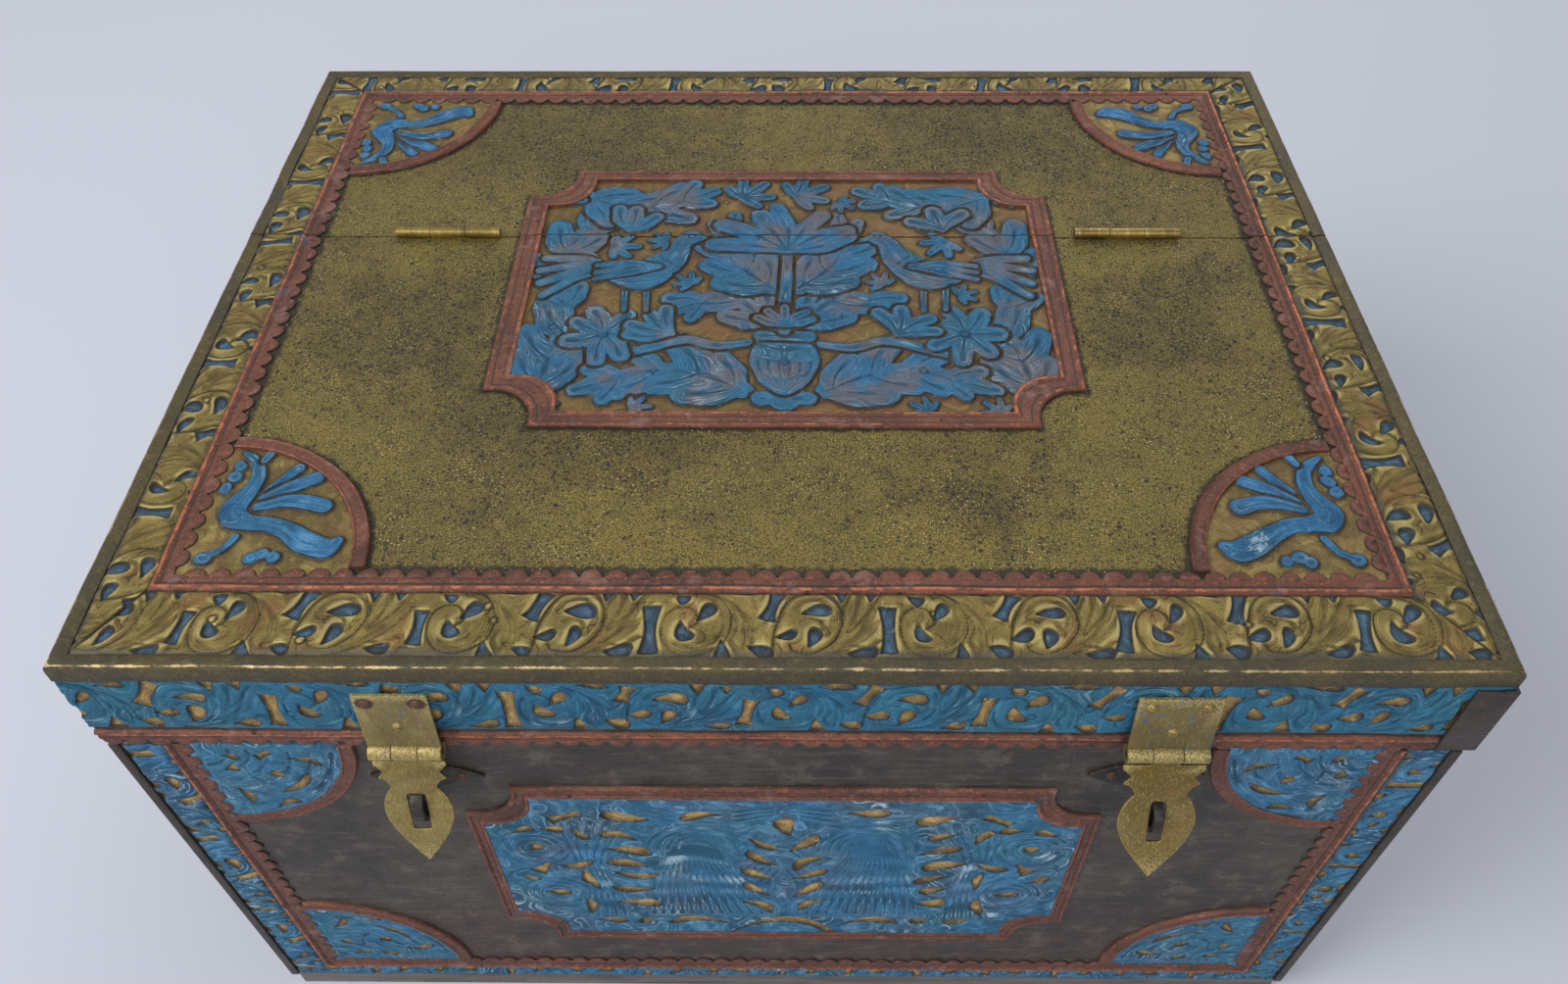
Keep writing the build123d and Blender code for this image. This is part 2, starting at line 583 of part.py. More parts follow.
def hasp(name):
    """The fixed leaf, swinging leaf and pin of one hasp, with its nails and their holes."""
    pin, hang, width, slot = hasp_axis(name)
    half = width / 2
    neck = width * HASP_MIDDLE_SHARE / 2
    bore = barrel(pin, -half, half, HASP_PIN + RUNNING_FIT)
    out = Vector(0, -cos(radians(hang)), sin(radians(hang)))
    leaf_face = Plane(origin=pin, x_dir=(1, 0, 0), z_dir=out)
    swinging = extrude(leaf_face * swinging_outline(width, slot), amount=PLATE / 2, both=True)
    swinging += barrel(pin, -neck + KNUCKLE_GAP, neck - KNUCKLE_GAP, HASP_KNUCKLE)
    head = Vector(pin.X, -HALF_D - PLATE / 2, TOP_Z - HASP_TOP_DROP)
    rise = head - pin
    lean = Vector(0, -rise.Z, rise.Y).normalized()
    fixed_face = Plane(origin=pin, x_dir=(1, 0, 0), z_dir=lean)
    fixed = extrude(fixed_face * area(-half, half, 0, rise.length), amount=PLATE / 2, both=True)
    fixed += barrel(pin, -half, half, HASP_KNUCKLE)
    fixed -= barrel(pin, -neck, neck, HASP_KNUCKLE + KNUCKLE_GAP)
    surface = Plane(origin=pin + lean * (PLATE / 2), x_dir=(1, 0, 0), z_dir=lean)
    nails = [nail(surface, share * width, rise.length - down) for share, down in HASP_NAILS]
    for _, hole in nails:
        fixed -= hole
    return fixed - bore, swinging - bore, barrel(pin, -half, half, HASP_PIN), nails


def hasps():
    fixed = []
    pins = []
    nails = []
    for name in HASPS:
        upper, swinging, pin, found = hasp(name)
        fixed.append(upper)
        pins.append(pin)
        nails += found
        add("hasp_leaf_" + name, swinging)
    add("hasp_upper_leaves", *fixed)
    add("hasp_pins", *pins)
    add("hasp_nails", *[one for one, _ in nails])
    drill(["lid_front_frieze", "lid_front_skirt", "lid_skirt_moulding"], [hole for _, hole in nails])


# Staples and their plates
def staple(name):
    """A band bent to a loop that stands on the front wall and comes through the slot of a hasp."""
    pin, hang, _, slot = hasp_axis(name)
    down = Vector(0, -sin(radians(hang)), -cos(radians(hang)))
    out = Vector(0, -cos(radians(hang)), sin(radians(hang)))
    nose = pin + down * NOSE_BELOW_PIN - out * (PLATE / 2 + STAPLE_SINK)
    side = Plane(origin=(nose.X, nose.Y, nose.Z), x_dir=(0, -1, 0), z_dir=(-1, 0, 0))
    leg = -nose.Y - WALL_D + STAPLE_DRIVEN
    inner = STAPLE_RADIUS - STAPLE_BAND
    whole = Circle(STAPLE_RADIUS) + area(-leg, 0, -STAPLE_RADIUS, STAPLE_RADIUS)
    eye = Circle(inner) + area(-leg, 0, -inner, inner)
    thick = slot / 2 - STAPLE_SIDE_ROOM
    return extrude(side * (whole - eye), amount=thick, both=True), nose


def staples():
    wall = front_face(WALL_D + SHEET)
    length, height = STAPLE_PLATE
    arc = (length**2 + height**2) / (4 * height)
    lens = (Pos(0, arc - height / 2) * Circle(arc)) & (Pos(0, height / 2 - arc) * Circle(arc))
    plates = []
    loops = []
    nails = []
    for name in HASPS:
        loop, nose = staple(name)
        loops.append(loop)
        plates.append(extrude(wall * Pos(nose.X, nose.Z) * lens, amount=PLATE))
        surface = front_face(WALL_D + SHEET + PLATE)
        nails += [nail(surface, nose.X + dx, nose.Z) for dx in (-STAPLE_NAIL_X, STAPLE_NAIL_X)]
    add("staples", *loops)
    add("staple_plates", *plates)
    drill(["staple_plates", "front_sheet", "front_board"], loops + [hole for _, hole in nails])
    return [one for one, _ in nails]


# Drop handles
def handles():
    holes = []
    nails = []
    plates = []
    for side, sign in (("left", -1), ("right", 1)):
        pivot_x = sign * (WALL_W + SHEET + HANDLE_STANDOFF)
        hang = Plane(origin=(pivot_x, 0, HANDLE_Z), x_dir=(0, 1, 0), z_dir=(1, 0, 0))
        path = FilletPolyline(
            *[point(hang, y, z) for y, z in (
                (-HANDLE_END_Y, 0), (-HANDLE_ARM_Y, 0), (-HANDLE_ARM_Y, -HANDLE_DROP),
                (HANDLE_ARM_Y, -HANDLE_DROP), (HANDLE_ARM_Y, 0), (HANDLE_END_Y, 0))],
            radius=[HANDLE_ELBOW, HANDLE_BEND, HANDLE_BEND, HANDLE_ELBOW])
        start = Plane(origin=path @ 0, z_dir=path % 0)
        add("handle_" + side, sweep(start * Circle(HANDLE_ROD), path=path))
        face, _ = end_face(side, WALL_W + SHEET)
        length, height = HANDLE_PLATE
        plate = extrude(face * Pos(0, HANDLE_Z) * SlotOverall(length, height), amount=HANDLE_PLATE_THICK)
        surface, _ = end_face(side, WALL_W + SHEET + HANDLE_PLATE_THICK)
        for lug_y in (-HANDLE_LUG_Y, HANDLE_LUG_Y):
            y0, y1 = lug_y - HANDLE_LUG / 2, lug_y + HANDLE_LUG / 2
            root_x = sign * (WALL_W + SHEET)
            plate += rod((pivot_x, y0, HANDLE_Z), (pivot_x, y1, HANDLE_Z), HANDLE_LUG_RADIUS)
            plate += span(root_x, pivot_x, y0, y1, HANDLE_Z - HANDLE_LUG_RADIUS, HANDLE_Z + HANDLE_LUG_RADIUS)
        plate -= rod((pivot_x, -HANDLE_END_Y, HANDLE_Z), (pivot_x, HANDLE_END_Y, HANDLE_Z),
                     HANDLE_ROD + RUNNING_FIT)
        found = [nail(surface, y, HANDLE_Z) for y in HANDLE_NAIL_Y]
        nails += [one for one, _ in found]
        holes += [hole for _, hole in found]
        plates.append(plate)
    add("handle_plates", *plates)
    drill(["handle_plates", "end_sheets", "left_board", "right_board"], holes)
    return nails


def main():
    chest_boards()
    chest_sheets()
    bands = chest_trim()
    corner_angles()
    front_cartouche()
    lid_boards()
    lid_skirt_trim()
    bands += top_trim()
    add("chest_fan_bands", *bands)
    top_cartouche()
    hinges()
    hasps()
    add("chest_nails", *staples(), *handles())
    os.makedirs("parts", exist_ok=True)
    for name, solids in pieces.items():
        shape = solids[0] if len(solids) == 1 else Compound(children=solids)
        export_step(shape, "parts/" + name + ".step")
    print(len(pieces), "pieces")


main()
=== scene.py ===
import math
import random

import bmesh
import bpy
import numpy as np
from mathutils import Matrix, Vector


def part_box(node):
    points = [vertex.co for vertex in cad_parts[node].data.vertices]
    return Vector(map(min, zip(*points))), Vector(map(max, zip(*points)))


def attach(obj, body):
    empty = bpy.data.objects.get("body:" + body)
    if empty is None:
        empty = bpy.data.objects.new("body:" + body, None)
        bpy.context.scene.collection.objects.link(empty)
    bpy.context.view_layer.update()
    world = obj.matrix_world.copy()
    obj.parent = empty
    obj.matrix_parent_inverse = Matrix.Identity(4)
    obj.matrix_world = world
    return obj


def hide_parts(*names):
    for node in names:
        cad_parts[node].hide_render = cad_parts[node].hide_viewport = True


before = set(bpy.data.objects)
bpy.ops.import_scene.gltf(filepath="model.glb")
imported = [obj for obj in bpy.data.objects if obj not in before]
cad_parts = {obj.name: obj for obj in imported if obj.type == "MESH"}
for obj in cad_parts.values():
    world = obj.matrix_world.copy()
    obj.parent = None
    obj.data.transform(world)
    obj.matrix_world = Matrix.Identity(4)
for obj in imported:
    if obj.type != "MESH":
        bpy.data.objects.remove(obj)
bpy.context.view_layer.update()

# Lengths below are millimetres; a mesh is turned into the frame's metres when it is made
METRE = 0.001
X, Y, Z = 0, 1, 2


def low(node, axis):
    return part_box(node)[0][axis] / METRE


def high(node, axis):
    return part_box(node)[1][axis] / METRE


# Places read from the construction model
FIELD_Z = high("lid_sheet", Z)
TOP_Z = high("lid_border", Z)
LID_END = high("lid_board", Y)
DECK_END = low("deck_board", Y)
EDGE_X = high("lid_edge_strip", X)
EDGE_FRONT = low("lid_edge_strip", Y)
EDGE_BACK = high("deck_edge_strip", Y)
FIELD_LEFT = low("lid_moulding", X)
FIELD_RIGHT = high("lid_moulding", X)
FIELD_FRONT = low("lid_moulding", Y)
FIELD_BACK = high("deck_moulding", Y)
EDGE_WIDTH = EDGE_X - high("lid_border", X)
EDGE_DROP = TOP_Z - low("lid_edge_strip", Z)
LID_FRONT = -low("lid_front_skirt", Y)
SHEET = high("lid_sheet", Z) - high("lid_board", Z)
RELIEF = TOP_Z - FIELD_Z
SKIRT_BOTTOM = low("lid_front_skirt", Z)
SKIRT_SIDE = high("lid_right_skirt", X)
BAND_TOP = high("lid_front_frieze", Z)
WALL_TOP = high("front_sheet", Z)
WALL_FRONT = -low("front_sheet", Y)
WALL_SIDE = high("end_sheets", X)
WALL_BOTTOM = low("front_sheet", Z)

# Sizes of the metal strips
MOULDING_WIDTH = 11.0
SKIRT_STRIP = 10.0
SKIRT_FRIEZE = 33.0
BASE_FRIEZE = 11.0
FAN_RADIUS = 68.0
FAN_RADIUS_HIGH = 63.0
FAN_BAND = 6.3
NOTCH = 22.0
SHOULDER = 4.0
SKIRT_LOW = BAND_TOP - SKIRT_FRIEZE

# Bead and scallops of the copper strips
BEAD = 1.7
LOBE_PITCH = 9.1
LOBE_DEPTH = 3.9
LOBE_RISE = 1.25
LOBE_TUCK = 0.6
LOBE_CHANGE = 0.06

# How far the reliefs reach under the copper beside them, and how much lower the fans lie
UNDER_SCALLOPS = 3.4
UNDER_BAND = 0.7
UNDER_FRAME = 0.8
FAN_SUNK = 0.1

LEFT, RIGHT = FIELD_LEFT + MOULDING_WIDTH, FIELD_RIGHT - MOULDING_WIDTH
FRONT, BACK = FIELD_FRONT + MOULDING_WIDTH, FIELD_BACK - MOULDING_WIDTH
TOP_FANS = {"lid": ((LEFT, FRONT, 0, FAN_RADIUS), (RIGHT, FRONT, 90, FAN_RADIUS)),
            "chest": ((RIGHT, BACK, 180, FAN_RADIUS), (LEFT, BACK, 270, FAN_RADIUS))}


def reach_of(axis, low_node, high_node=None):
    """The length along an axis of one part, or from the start of one to the end of another."""
    return high(high_node or low_node, axis) - low(low_node, axis)


TOP_OUTER = (2 * high("lid_cartouche_frame", X), reach_of(Y, "lid_cartouche_frame", "deck_cartouche_frame"))
TOP_INNER = (2 * high("lid_cartouche_panel", X), reach_of(Y, "lid_cartouche_panel", "deck_cartouche_panel"))
TOP_MIDDLE = (high("deck_cartouche_frame", Y) + low("lid_cartouche_frame", Y)) / 2
FRONT_OUTER = (2 * high("front_cartouche_frame", X), reach_of(Z, "front_cartouche_frame"))
FRONT_INNER = (2 * high("front_cartouche_panel", X), reach_of(Z, "front_cartouche_panel"))
FRONT_MIDDLE = (high("front_cartouche_frame", Z) + low("front_cartouche_frame", Z)) / 2

LEFT_HASP_X = (low("hasp_leaf_left", X) + high("hasp_leaf_left", X)) / 2
LEFT_HASP_WIDTH = reach_of(X, "hasp_leaf_left")
HASP_SCREW_Z = high("hasp_upper_leaves", Z) - 4.6

# Size of one cell of the relief grids: on the top, on the front wall and on the faces seen least
FINE = 0.55
WALL_STEP = 0.62
COARSE = 0.9

# Hand work: pace and drift of the swept strips, parts of a fan's band, angle from which an edge is rounded
SWEEP_PACE = 5.0
SWEEP_SWAY = 0.22
BAND_PARTS = 30
SHARP_EDGE = 28.0

# Floor
FLOOR_HALF = 6.0
FLOOR_Z = -0.0002


# Shader maths
def worked_out(kind):
    """A method of Wire that puts its value and one other through a kind of maths node."""
    return lambda self, other: self.maths(kind, other)


class Wire:
    """A shader socket that can be added, multiplied and compared in plain expressions."""

    def __init__(self, maker, socket):
        self.maker = maker
        self.socket = socket

    def maths(self, operation, *others, clamp=False):
        return self.maker.node("ShaderNodeMath", {"operation": operation, "use_clamp": clamp},
                               dict(enumerate((self,) + others)))

    __add__ = __radd__ = worked_out("ADD")
    __sub__ = worked_out("SUBTRACT")
    __mul__ = __rmul__ = worked_out("MULTIPLY")
    __truediv__ = worked_out("DIVIDE")
    larger = worked_out("MAXIMUM")
    smaller = worked_out("MINIMUM")
    power = worked_out("POWER")

    def __rsub__(self, other):
        return self * -1.0 + other

    def size(self):
        return self.maths("ABSOLUTE")

    def clamped(self):
        return self.maths("ADD", 0.0, clamp=True)

    def step(self, start, end):
        """0 below start, 1 above end and smooth between, or the other way round where end is lower."""
        return self.maker.node("ShaderNodeMapRange", {"interpolation_type": "SMOOTHSTEP"},
                               {"Value": self, "From Min": start, "From Max": end})


class Finish:
    """A material in the making, with one method for each kind of node that is used often."""

    def __init__(self, name):
        self.material = bpy.data.materials.new(name)
        self.material.use_nodes = True
        self.tree = self.material.node_tree
        self.tree.nodes.clear()
        self.shader = self.tree.nodes.new("ShaderNodeBsdfPrincipled")
        output = self.tree.nodes.new("ShaderNodeOutputMaterial")
        self.tree.links.new(self.shader.outputs[0], output.inputs[0])
        place = self.node("ShaderNodeTexCoord", {}, {}, "Object")
        self.place = self.node("ShaderNodeVectorMath", {"operation": "SCALE"}, {0: place, "Scale": 1 / METRE})

    def node(self, kind, settings, inputs, output=0):
        made = self.tree.nodes.new(kind)
        for key, value in settings.items():
            setattr(made, key, value)
        for key, value in inputs.items():
            self.plug(made.inputs[key], value)
        return Wire(self, made.outputs[output])

    def plug(self, socket, value):
        if isinstance(value, Wire):
            self.tree.links.new(value.socket, socket)
        else:
            socket.default_value = value

    def noise(self, scale, detail=3.0, roughness=0.55, vector=None, distortion=0.0):
        """Noise with about scale features to the millimetre."""
        return self.node("ShaderNodeTexNoise", {"noise_dimensions": "3D"},
                         {"Vector": vector or self.place, "Scale": scale, "Detail": detail,
                          "Roughness": roughness, "Distortion": distortion}, "Fac")

    def stretched(self, factors):
        """The place on the trunk with its axes squeezed or stretched."""
        return self.node("ShaderNodeVectorMath", {"operation": "MULTIPLY"}, {0: self.place, 1: factors})

    def cells(self, scale, feature="F1", vector=None):
        return self.node("ShaderNodeTexVoronoi", {"feature": feature},
                         {"Vector": vector or self.place, "Scale": scale}, "Distance")

    def warped(self, reach):
        """The place on the trunk pushed about a little, for ragged outlines."""
        push = self.node("ShaderNodeTexNoise", {"noise_dimensions": "3D"},
                         {"Vector": self.place, "Scale": 0.9, "Detail": 2.0}, "Color")
        push = self.node("ShaderNodeVectorMath", {"operation": "SCALE"}, {0: push, "Scale": reach})
        return self.node("ShaderNodeVectorMath", {"operation": "ADD"}, {0: self.place, 1: push})

    def spots(self, scale, vector, amount, radius):
        """Scattered dots, more of them where the amount is high."""
        away = self.cells(scale, vector=vector)
        draw, _, size = self.split(Wire(self, away.socket.node.outputs["Color"]))
        return (away - size * 0.16).step(radius, radius - 0.12) * (draw + amount).step(1.26, 1.32)

    def attribute(self, name):
        return self.node("ShaderNodeAttribute", {"attribute_name": name}, {}, "Fac")

    def vector(self, x, y, z):
        return self.node("ShaderNodeCombineXYZ", {}, {0: x, 1: y, 2: z})

    def split(self, vector):
        made = self.tree.nodes.new("ShaderNodeSeparateXYZ")
        self.tree.links.new(vector.socket, made.inputs[0])
        return [Wire(self, output) for output in made.outputs]

    def mix(self, factor, one, other, blend="MIX"):
        made = self.tree.nodes.new("ShaderNodeMix")
        made.data_type = "RGBA"
        made.blend_type = blend
        self.plug(made.inputs["Factor"], factor)
        colours = [socket for socket in made.inputs if socket.type == "RGBA"]
        self.plug(colours[0], one)
        self.plug(colours[1], other)
        return Wire(self, [socket for socket in made.outputs if socket.type == "RGBA"][0])

    def layered(self, colour, *layers):
        """A colour with others laid over it in turn, each given as (how much, colour)."""
        for amount, over in layers:
            colour = self.mix(amount, colour, over)
        return colour

    def bump(self, height, strength, distance):
        return self.node("ShaderNodeBump", {},
                         {"Height": height, "Strength": strength, "Distance": distance * METRE})

    def done(self, colour, roughness, metallic, normal=None):
        self.plug(self.shader.inputs["Base Color"], colour)
        self.plug(self.shader.inputs["Roughness"], roughness)
        self.plug(self.shader.inputs["Metallic"], metallic)
        if normal:
            self.plug(self.shader.inputs["Normal"], normal)
        return self.material


def shade(red, green, blue):
    """A screen colour, 0 to 255, as the linear colour that a shader takes."""
    def linear(value):
        value /= 255
        return value / 12.92 if value <= 0.04045 else ((value + 0.055) / 1.055) ** 2.4
    return (linear(red), linear(green), linear(blue), 1.0)


# Colours of the object
DEEP_BRASS = shade(80, 69, 42)
GOLD_WEAR_AND_GLINT = shade(226, 206, 136)
PATINA_AND_SHADE = shade(40, 37, 31)
DEEP_TAN = shade(120, 94, 58)
BROWN_GROUND = shade(112, 82, 58)
SLATE_BLUE = shade(62, 92, 116)
TEAL = shade(46, 100, 118)
CHALK = shade(196, 214, 224)
GRIME_AND_SHADE = shade(36, 32, 29)
COPPER = shade(112, 70, 54)
BRIGHT_COPPER = shade(204, 122, 82)
DARK_COPPER = shade(82, 53, 44)
WALL_BROWN = shade(69, 61, 51)
WALL_DARK = shade(48, 42, 36)
WALL_RED = shade(66, 47, 39)
RUST = shade(112, 62, 36)
STEEL = shade(112, 106, 98)
PLINTH = shade(104, 98, 92)
WOOD = shade(132, 100, 66)
DARK_WOOD = shade(104, 76, 50)
REDDISH_BRASS = shade(142, 96, 62)
BARE_GREY = shade(104, 88, 78)
INK_BLUE = shade(24, 50, 74)
DUST = shade(74, 74, 68)
SCUFFED_COPPER = shade(152, 88, 64)
PINK_BLOOM = shade(146, 112, 104)
EDGE_OLIVE = shade(74, 68, 50)
EDGE_TAN = shade(92, 80, 48)
EDGE_DARK = shade(42, 39, 32)
EDGE_PALE = shade(126, 112, 72)
EDGE_BRIGHT = shade(196, 172, 124)
FIELD_OLIVE = shade(114, 99, 47)
FIELD_BROWN = shade(90, 78, 42)
FIELD_DARK = shade(56, 48, 28)
FIELD_PALE = shade(184, 165, 90)
FIELD_SHADE = shade(60, 53, 38)
FIELD_SPECK = shade(34, 31, 26)
WALL_PALE = shade(104, 94, 82)
WALL_RUBBED = shade(108, 100, 88)
WALL_BLACK = shade(28, 25, 24)
HASP_PALE = shade(130, 112, 56)
HASP_DEEP = shade(100, 80, 24)
HASP_CLOUD = shade(98, 84, 44)
HASP_BRIGHT = shade(204, 188, 128)
HASP_BRUSHED = shade(88, 76, 42)
HASP_FLECK = shade(86, 74, 42)
HASP_STAIN = shade(118, 80, 46)
HASP_GREY = shade(106, 100, 70)
HASP_PIT = shade(70, 34, 28)
NAIL_BRASS = shade(150, 128, 70)
NAIL_RUST = shade(84, 50, 36)
NAIL_DARK = shade(60, 46, 32)


def relief_finish(name, brass_over, metal, blues, teal=0.0, chalk=0.5, brown=0.0, earth=0.0, comb_depth=1.0):
    """Embossed sheet, brass over blue or blue over brass, with engraved lines, brush marks, worn places and
    soiling, and painted shade and highlights that round its forms.
    """
    f = Finish(name)
    across, along, line, crest, edge, dust = (f.attribute(key) for key in
                                              ("across", "along", "line", "crest", "edge", "dust"))
    cloud = f.noise(0.035, 4.0)
    grain = f.noise(1.3, 4.0, 0.65)
    patch = f.noise(0.11, 3.0)
    swirl = f.noise(0.055, 1.0, 0.4)
    flow = f.vector(along * 0.09, across * 1.1 + swirl * across.step(1.0, 4.0) * 26.0, cloud * 2.0)
    streak = f.noise(1.0, 3.0, 0.65, flow)
    over = (edge + (grain - 0.5) * 0.5).step(0.0, 0.3)
    contour = (edge - 1.9).size().step(0.3, 0.1) * patch.step(0.4, 0.54)
    engraved = line.step(0.4, 0.72).larger(contour * 0.8)
    comb = ((across * 6.2 + streak * 3.0).maths("SINE").step(0.2, 0.9)
            * f.noise(0.12, 2.0).step(0.42, 0.56) * comb_depth)
    rings = (edge * 4.4 + streak * 5.0).maths("SINE").step(0.3, 0.95) * (1.0 - over) * patch.step(0.4, 0.6)
    # rim: a pale line just inside the cut edges of forms and openings, a painted highlight
    rim = (edge - 0.6).size().step(0.3, 0.1) * patch.step(0.5, 0.62)
    # foot, sunk and hollow: darker at the foot of the forms, on the ground and openings beside them and in
    # the hollows; partly soiling, partly painted shade
    foot = (edge + 0.2).size().step(0.95, 0.3)
    # shaded: painted shade beside the engraved lines, which rounds the scrolls
    shaded = across.step(1.5, 0.1)
    sunk = edge.step(-2.4, -0.3) * (1.0 - over)
    hollow = (crest * -1.0).step(0.03, 0.3)
    worn = (crest + (grain - 0.5) * 0.2).step(0.12, 0.28)

    main, pale, deep = metal
    brass = f.layered(
        main,
        (cloud.step(0.42, 0.7) * 0.7, pale),
        (patch.step(0.5, 0.64) * 0.4, deep),
        (grain.step(0.45, 0.68) * 0.6, deep),
        (streak.step(0.5, 0.68) * 0.6, pale),
        (streak.step(0.47, 0.35) * 0.6, deep),
        (f.noise(0.055, 3.0).step(0.56, 0.68) * 0.4, REDDISH_BRASS),
        (f.noise(0.07, 3.0).step(0.5, 0.6) * (1.0 - over) * earth, BROWN_GROUND),
        (rings * 0.25, pale),
        # painted shade beside the engraved lines
        (shaded * over * patch.step(0.35, 0.6) * 0.5, deep),
        ((engraved * 0.8).larger(comb * 0.35), PATINA_AND_SHADE),
        # bright worn crests, and a painted highlight along the cut edges
        ((worn * 0.34).larger(rim * 0.16), GOLD_WEAR_AND_GLINT))

    main, dark, light = blues
    worn_off = (f.noise(0.026, 4.0, 0.6) + (streak - 0.5) * 0.2).step(0.48, 0.6)
    brushed = streak.step(0.52, 0.64) * f.noise(0.035, 3.0).step(0.5, 0.64) * chalk
    marked = engraved.larger(comb * 0.7)
    blue = f.layered(
        main,
        (cloud.step(0.36, 0.66), dark),
        (f.noise(0.021, 3.0).step(0.4, 0.62) * teal, TEAL),
        (worn_off * brown, BARE_GREY),
        (grain.step(0.46, 0.7) * 0.45, dark),
        (streak.step(0.52, 0.64) * 0.42, light),
        (streak.step(0.48, 0.38) * 0.7, dark),
        # painted shade beside the engraved lines
        (shaded * over * patch.step(0.6, 0.4) * 0.4, dark),
        (f.noise(1.5, 3.0, 0.7).step(0.6, 0.7) * 0.4, light),
        (brushed, CHALK),
        (marked * patch.step(0.56, 0.42) * 0.7, INK_BLUE),
        (marked * patch.step(0.46, 0.6) * 0.5, light),
        # painted highlight along the cut edges
        (rim * 0.22, light))

    colour = f.mix(over, blue, brass) if brass_over else f.mix(over, brass, blue)
    painted = (1.0 - over) if brass_over else over * 1.0
    # Soiling in the hollows, and painted shade at the foot of the forms, beside them and along their cut
    # edges
    dirt_and_shade = hollow * f.noise(0.25, 3.0).step(0.3, 0.6) * 0.6
    dirt_and_shade = dirt_and_shade.larger(foot * f.noise(0.2, 2.0).step(0.25, 0.48) * 0.85)
    dirt_and_shade = dirt_and_shade.larger(sunk * f.noise(0.3, 3.0).step(0.3, 0.6) * 0.5)
    dirt_and_shade = dirt_and_shade.larger((edge - 0.1).size().step(0.62, 0.2) * f.noise(0.15, 2.0).step(0.34, 0.5))
    dusty = (dust * 1.2 + (f.noise(0.3, 4.0) - 0.5) * 0.9).step(0.35, 0.9)
    speck = f.noise(0.9, 4.0, 0.7).step(0.63, 0.72)
    colour = f.layered(
        colour,
        (dusty * 0.75, DUST),
        ((dirt_and_shade * 0.85).larger(speck * 0.5), GRIME_AND_SHADE))
    metallic = ((1.0 - painted) * (1.0 - dirt_and_shade) * 0.45).clamped()
    roughness = (painted * 0.24 + 0.54 + (grain - 0.5) * 0.3 + dirt_and_shade * 0.2 - worn * 0.1).clamped()
    f.shader.inputs["Specular IOR Level"].default_value = 0.2
    relief = (engraved * -0.6) + comb * -0.2 + streak * 0.5 + grain * 0.8
    return f.done(colour, roughness, metallic, f.bump(relief, 0.8, 0.3))


def copper_finish():
    """Aged copper strip, matt and red-brown, with a broken bright line on its crest, and a dark groove and
    foot that are partly soiling and partly painted shade.
    """
    f = Finish("aged_copper")
    crest = f.attribute("crest")
    cloud = f.noise(0.03, 4.0)
    grain = f.noise(1.1, 4.0, 0.65)
    scuff = f.noise(0.4, 4.0, 0.7)
    rubbed = (crest + (f.noise(0.25, 4.0, 0.65) - 0.5) * 2.0).step(0.75, 1.15)
    # Darker where the crest value is below zero, in the groove and at the foot of the strip and its scallops:
    # partly soiling, partly painted shade
    grime_and_shade = (crest * -1.0 + (grain - 0.5) * 0.8).step(0.2, 0.8)
    pits = f.cells(0.06).step(0.07, 0.05)
    colour = f.layered(
        COPPER,
        (cloud.step(0.35, 0.68), DARK_COPPER),
        (grain.step(0.45, 0.7) * 0.55, DARK_COPPER),
        (scuff.step(0.52, 0.66) * 0.5, SCUFFED_COPPER),
        (rubbed * 0.75, BRIGHT_COPPER),
        (f.noise(0.7, 3.0).step(0.63, 0.7) * 0.4, BRIGHT_COPPER),
        (grime_and_shade * 0.8, GRIME_AND_SHADE),
        (f.noise(0.5, 4.0, 0.7).step(0.57, 0.68) * 0.75, GRIME_AND_SHADE),
        (f.noise(0.05, 4.0).step(0.63, 0.71) * 0.3, SLATE_BLUE),
        (f.noise(0.08, 4.0, 0.65).step(0.56, 0.68) * 0.4, PINK_BLOOM),
        (pits * 0.9, GRIME_AND_SHADE))
    roughness = (0.58 + (grain - 0.5) * 0.35 - rubbed * 0.15 + grime_and_shade * 0.2).clamped()
    metallic = (0.4 + rubbed * 0.3 - grime_and_shade * 0.4).clamped()
    return f.done(colour, roughness, metallic, f.bump(grain + cloud + scuff, 0.8, 0.35))


def edge_finish():
    """Dark olive strip of the top's edge, with the brass rubbed bright along its crest, and darker under and
    inside its step: partly soiling, partly painted shade.
    """
    f = Finish("worn_edge_brass")
    crest = f.attribute("crest")
    cloud = f.noise(0.04, 4.0)
    grain = f.noise(1.2, 4.0, 0.7)
    scuff = f.noise(0.3, 4.0, 0.7)
    rubbed = (crest + (f.noise(0.12, 5.0, 0.7) - 0.5) * 1.6).step(0.78, 1.1)
    # Darker under and inside the strip's step: partly soiling, partly painted shade
    grime_and_shade = (crest * -1.0 + (grain - 0.5) * 0.5).step(0.2, 0.9)
    colour = f.layered(
        EDGE_OLIVE,
        (cloud.step(0.36, 0.66), EDGE_TAN),
        (grain.step(0.44, 0.66) * 0.7, EDGE_DARK),
        (scuff.step(0.54, 0.68) * 0.4, EDGE_PALE),
        (rubbed * 0.8, EDGE_BRIGHT),
        (grime_and_shade * 0.75, GRIME_AND_SHADE),
        (f.noise(0.6, 4.0, 0.7).step(0.62, 0.72) * 0.6, GRIME_AND_SHADE))
    roughness = (0.56 + (grain - 0.5) * 0.35 - rubbed * 0.16).clamped()
    return f.done(colour, roughness, (0.45 + rubbed * 0.35).clamped(), f.bump(grain + scuff, 0.8, 0.3))


# Middles and reaches of the areas of the top where dark specks lie thickest
PATINA_SPOTS = ((-170, -10, 80), (-95, 138, 100), (120, 138, 110), (175, -10, 60), (-85, -75, 85),
                (85, -112, 45))


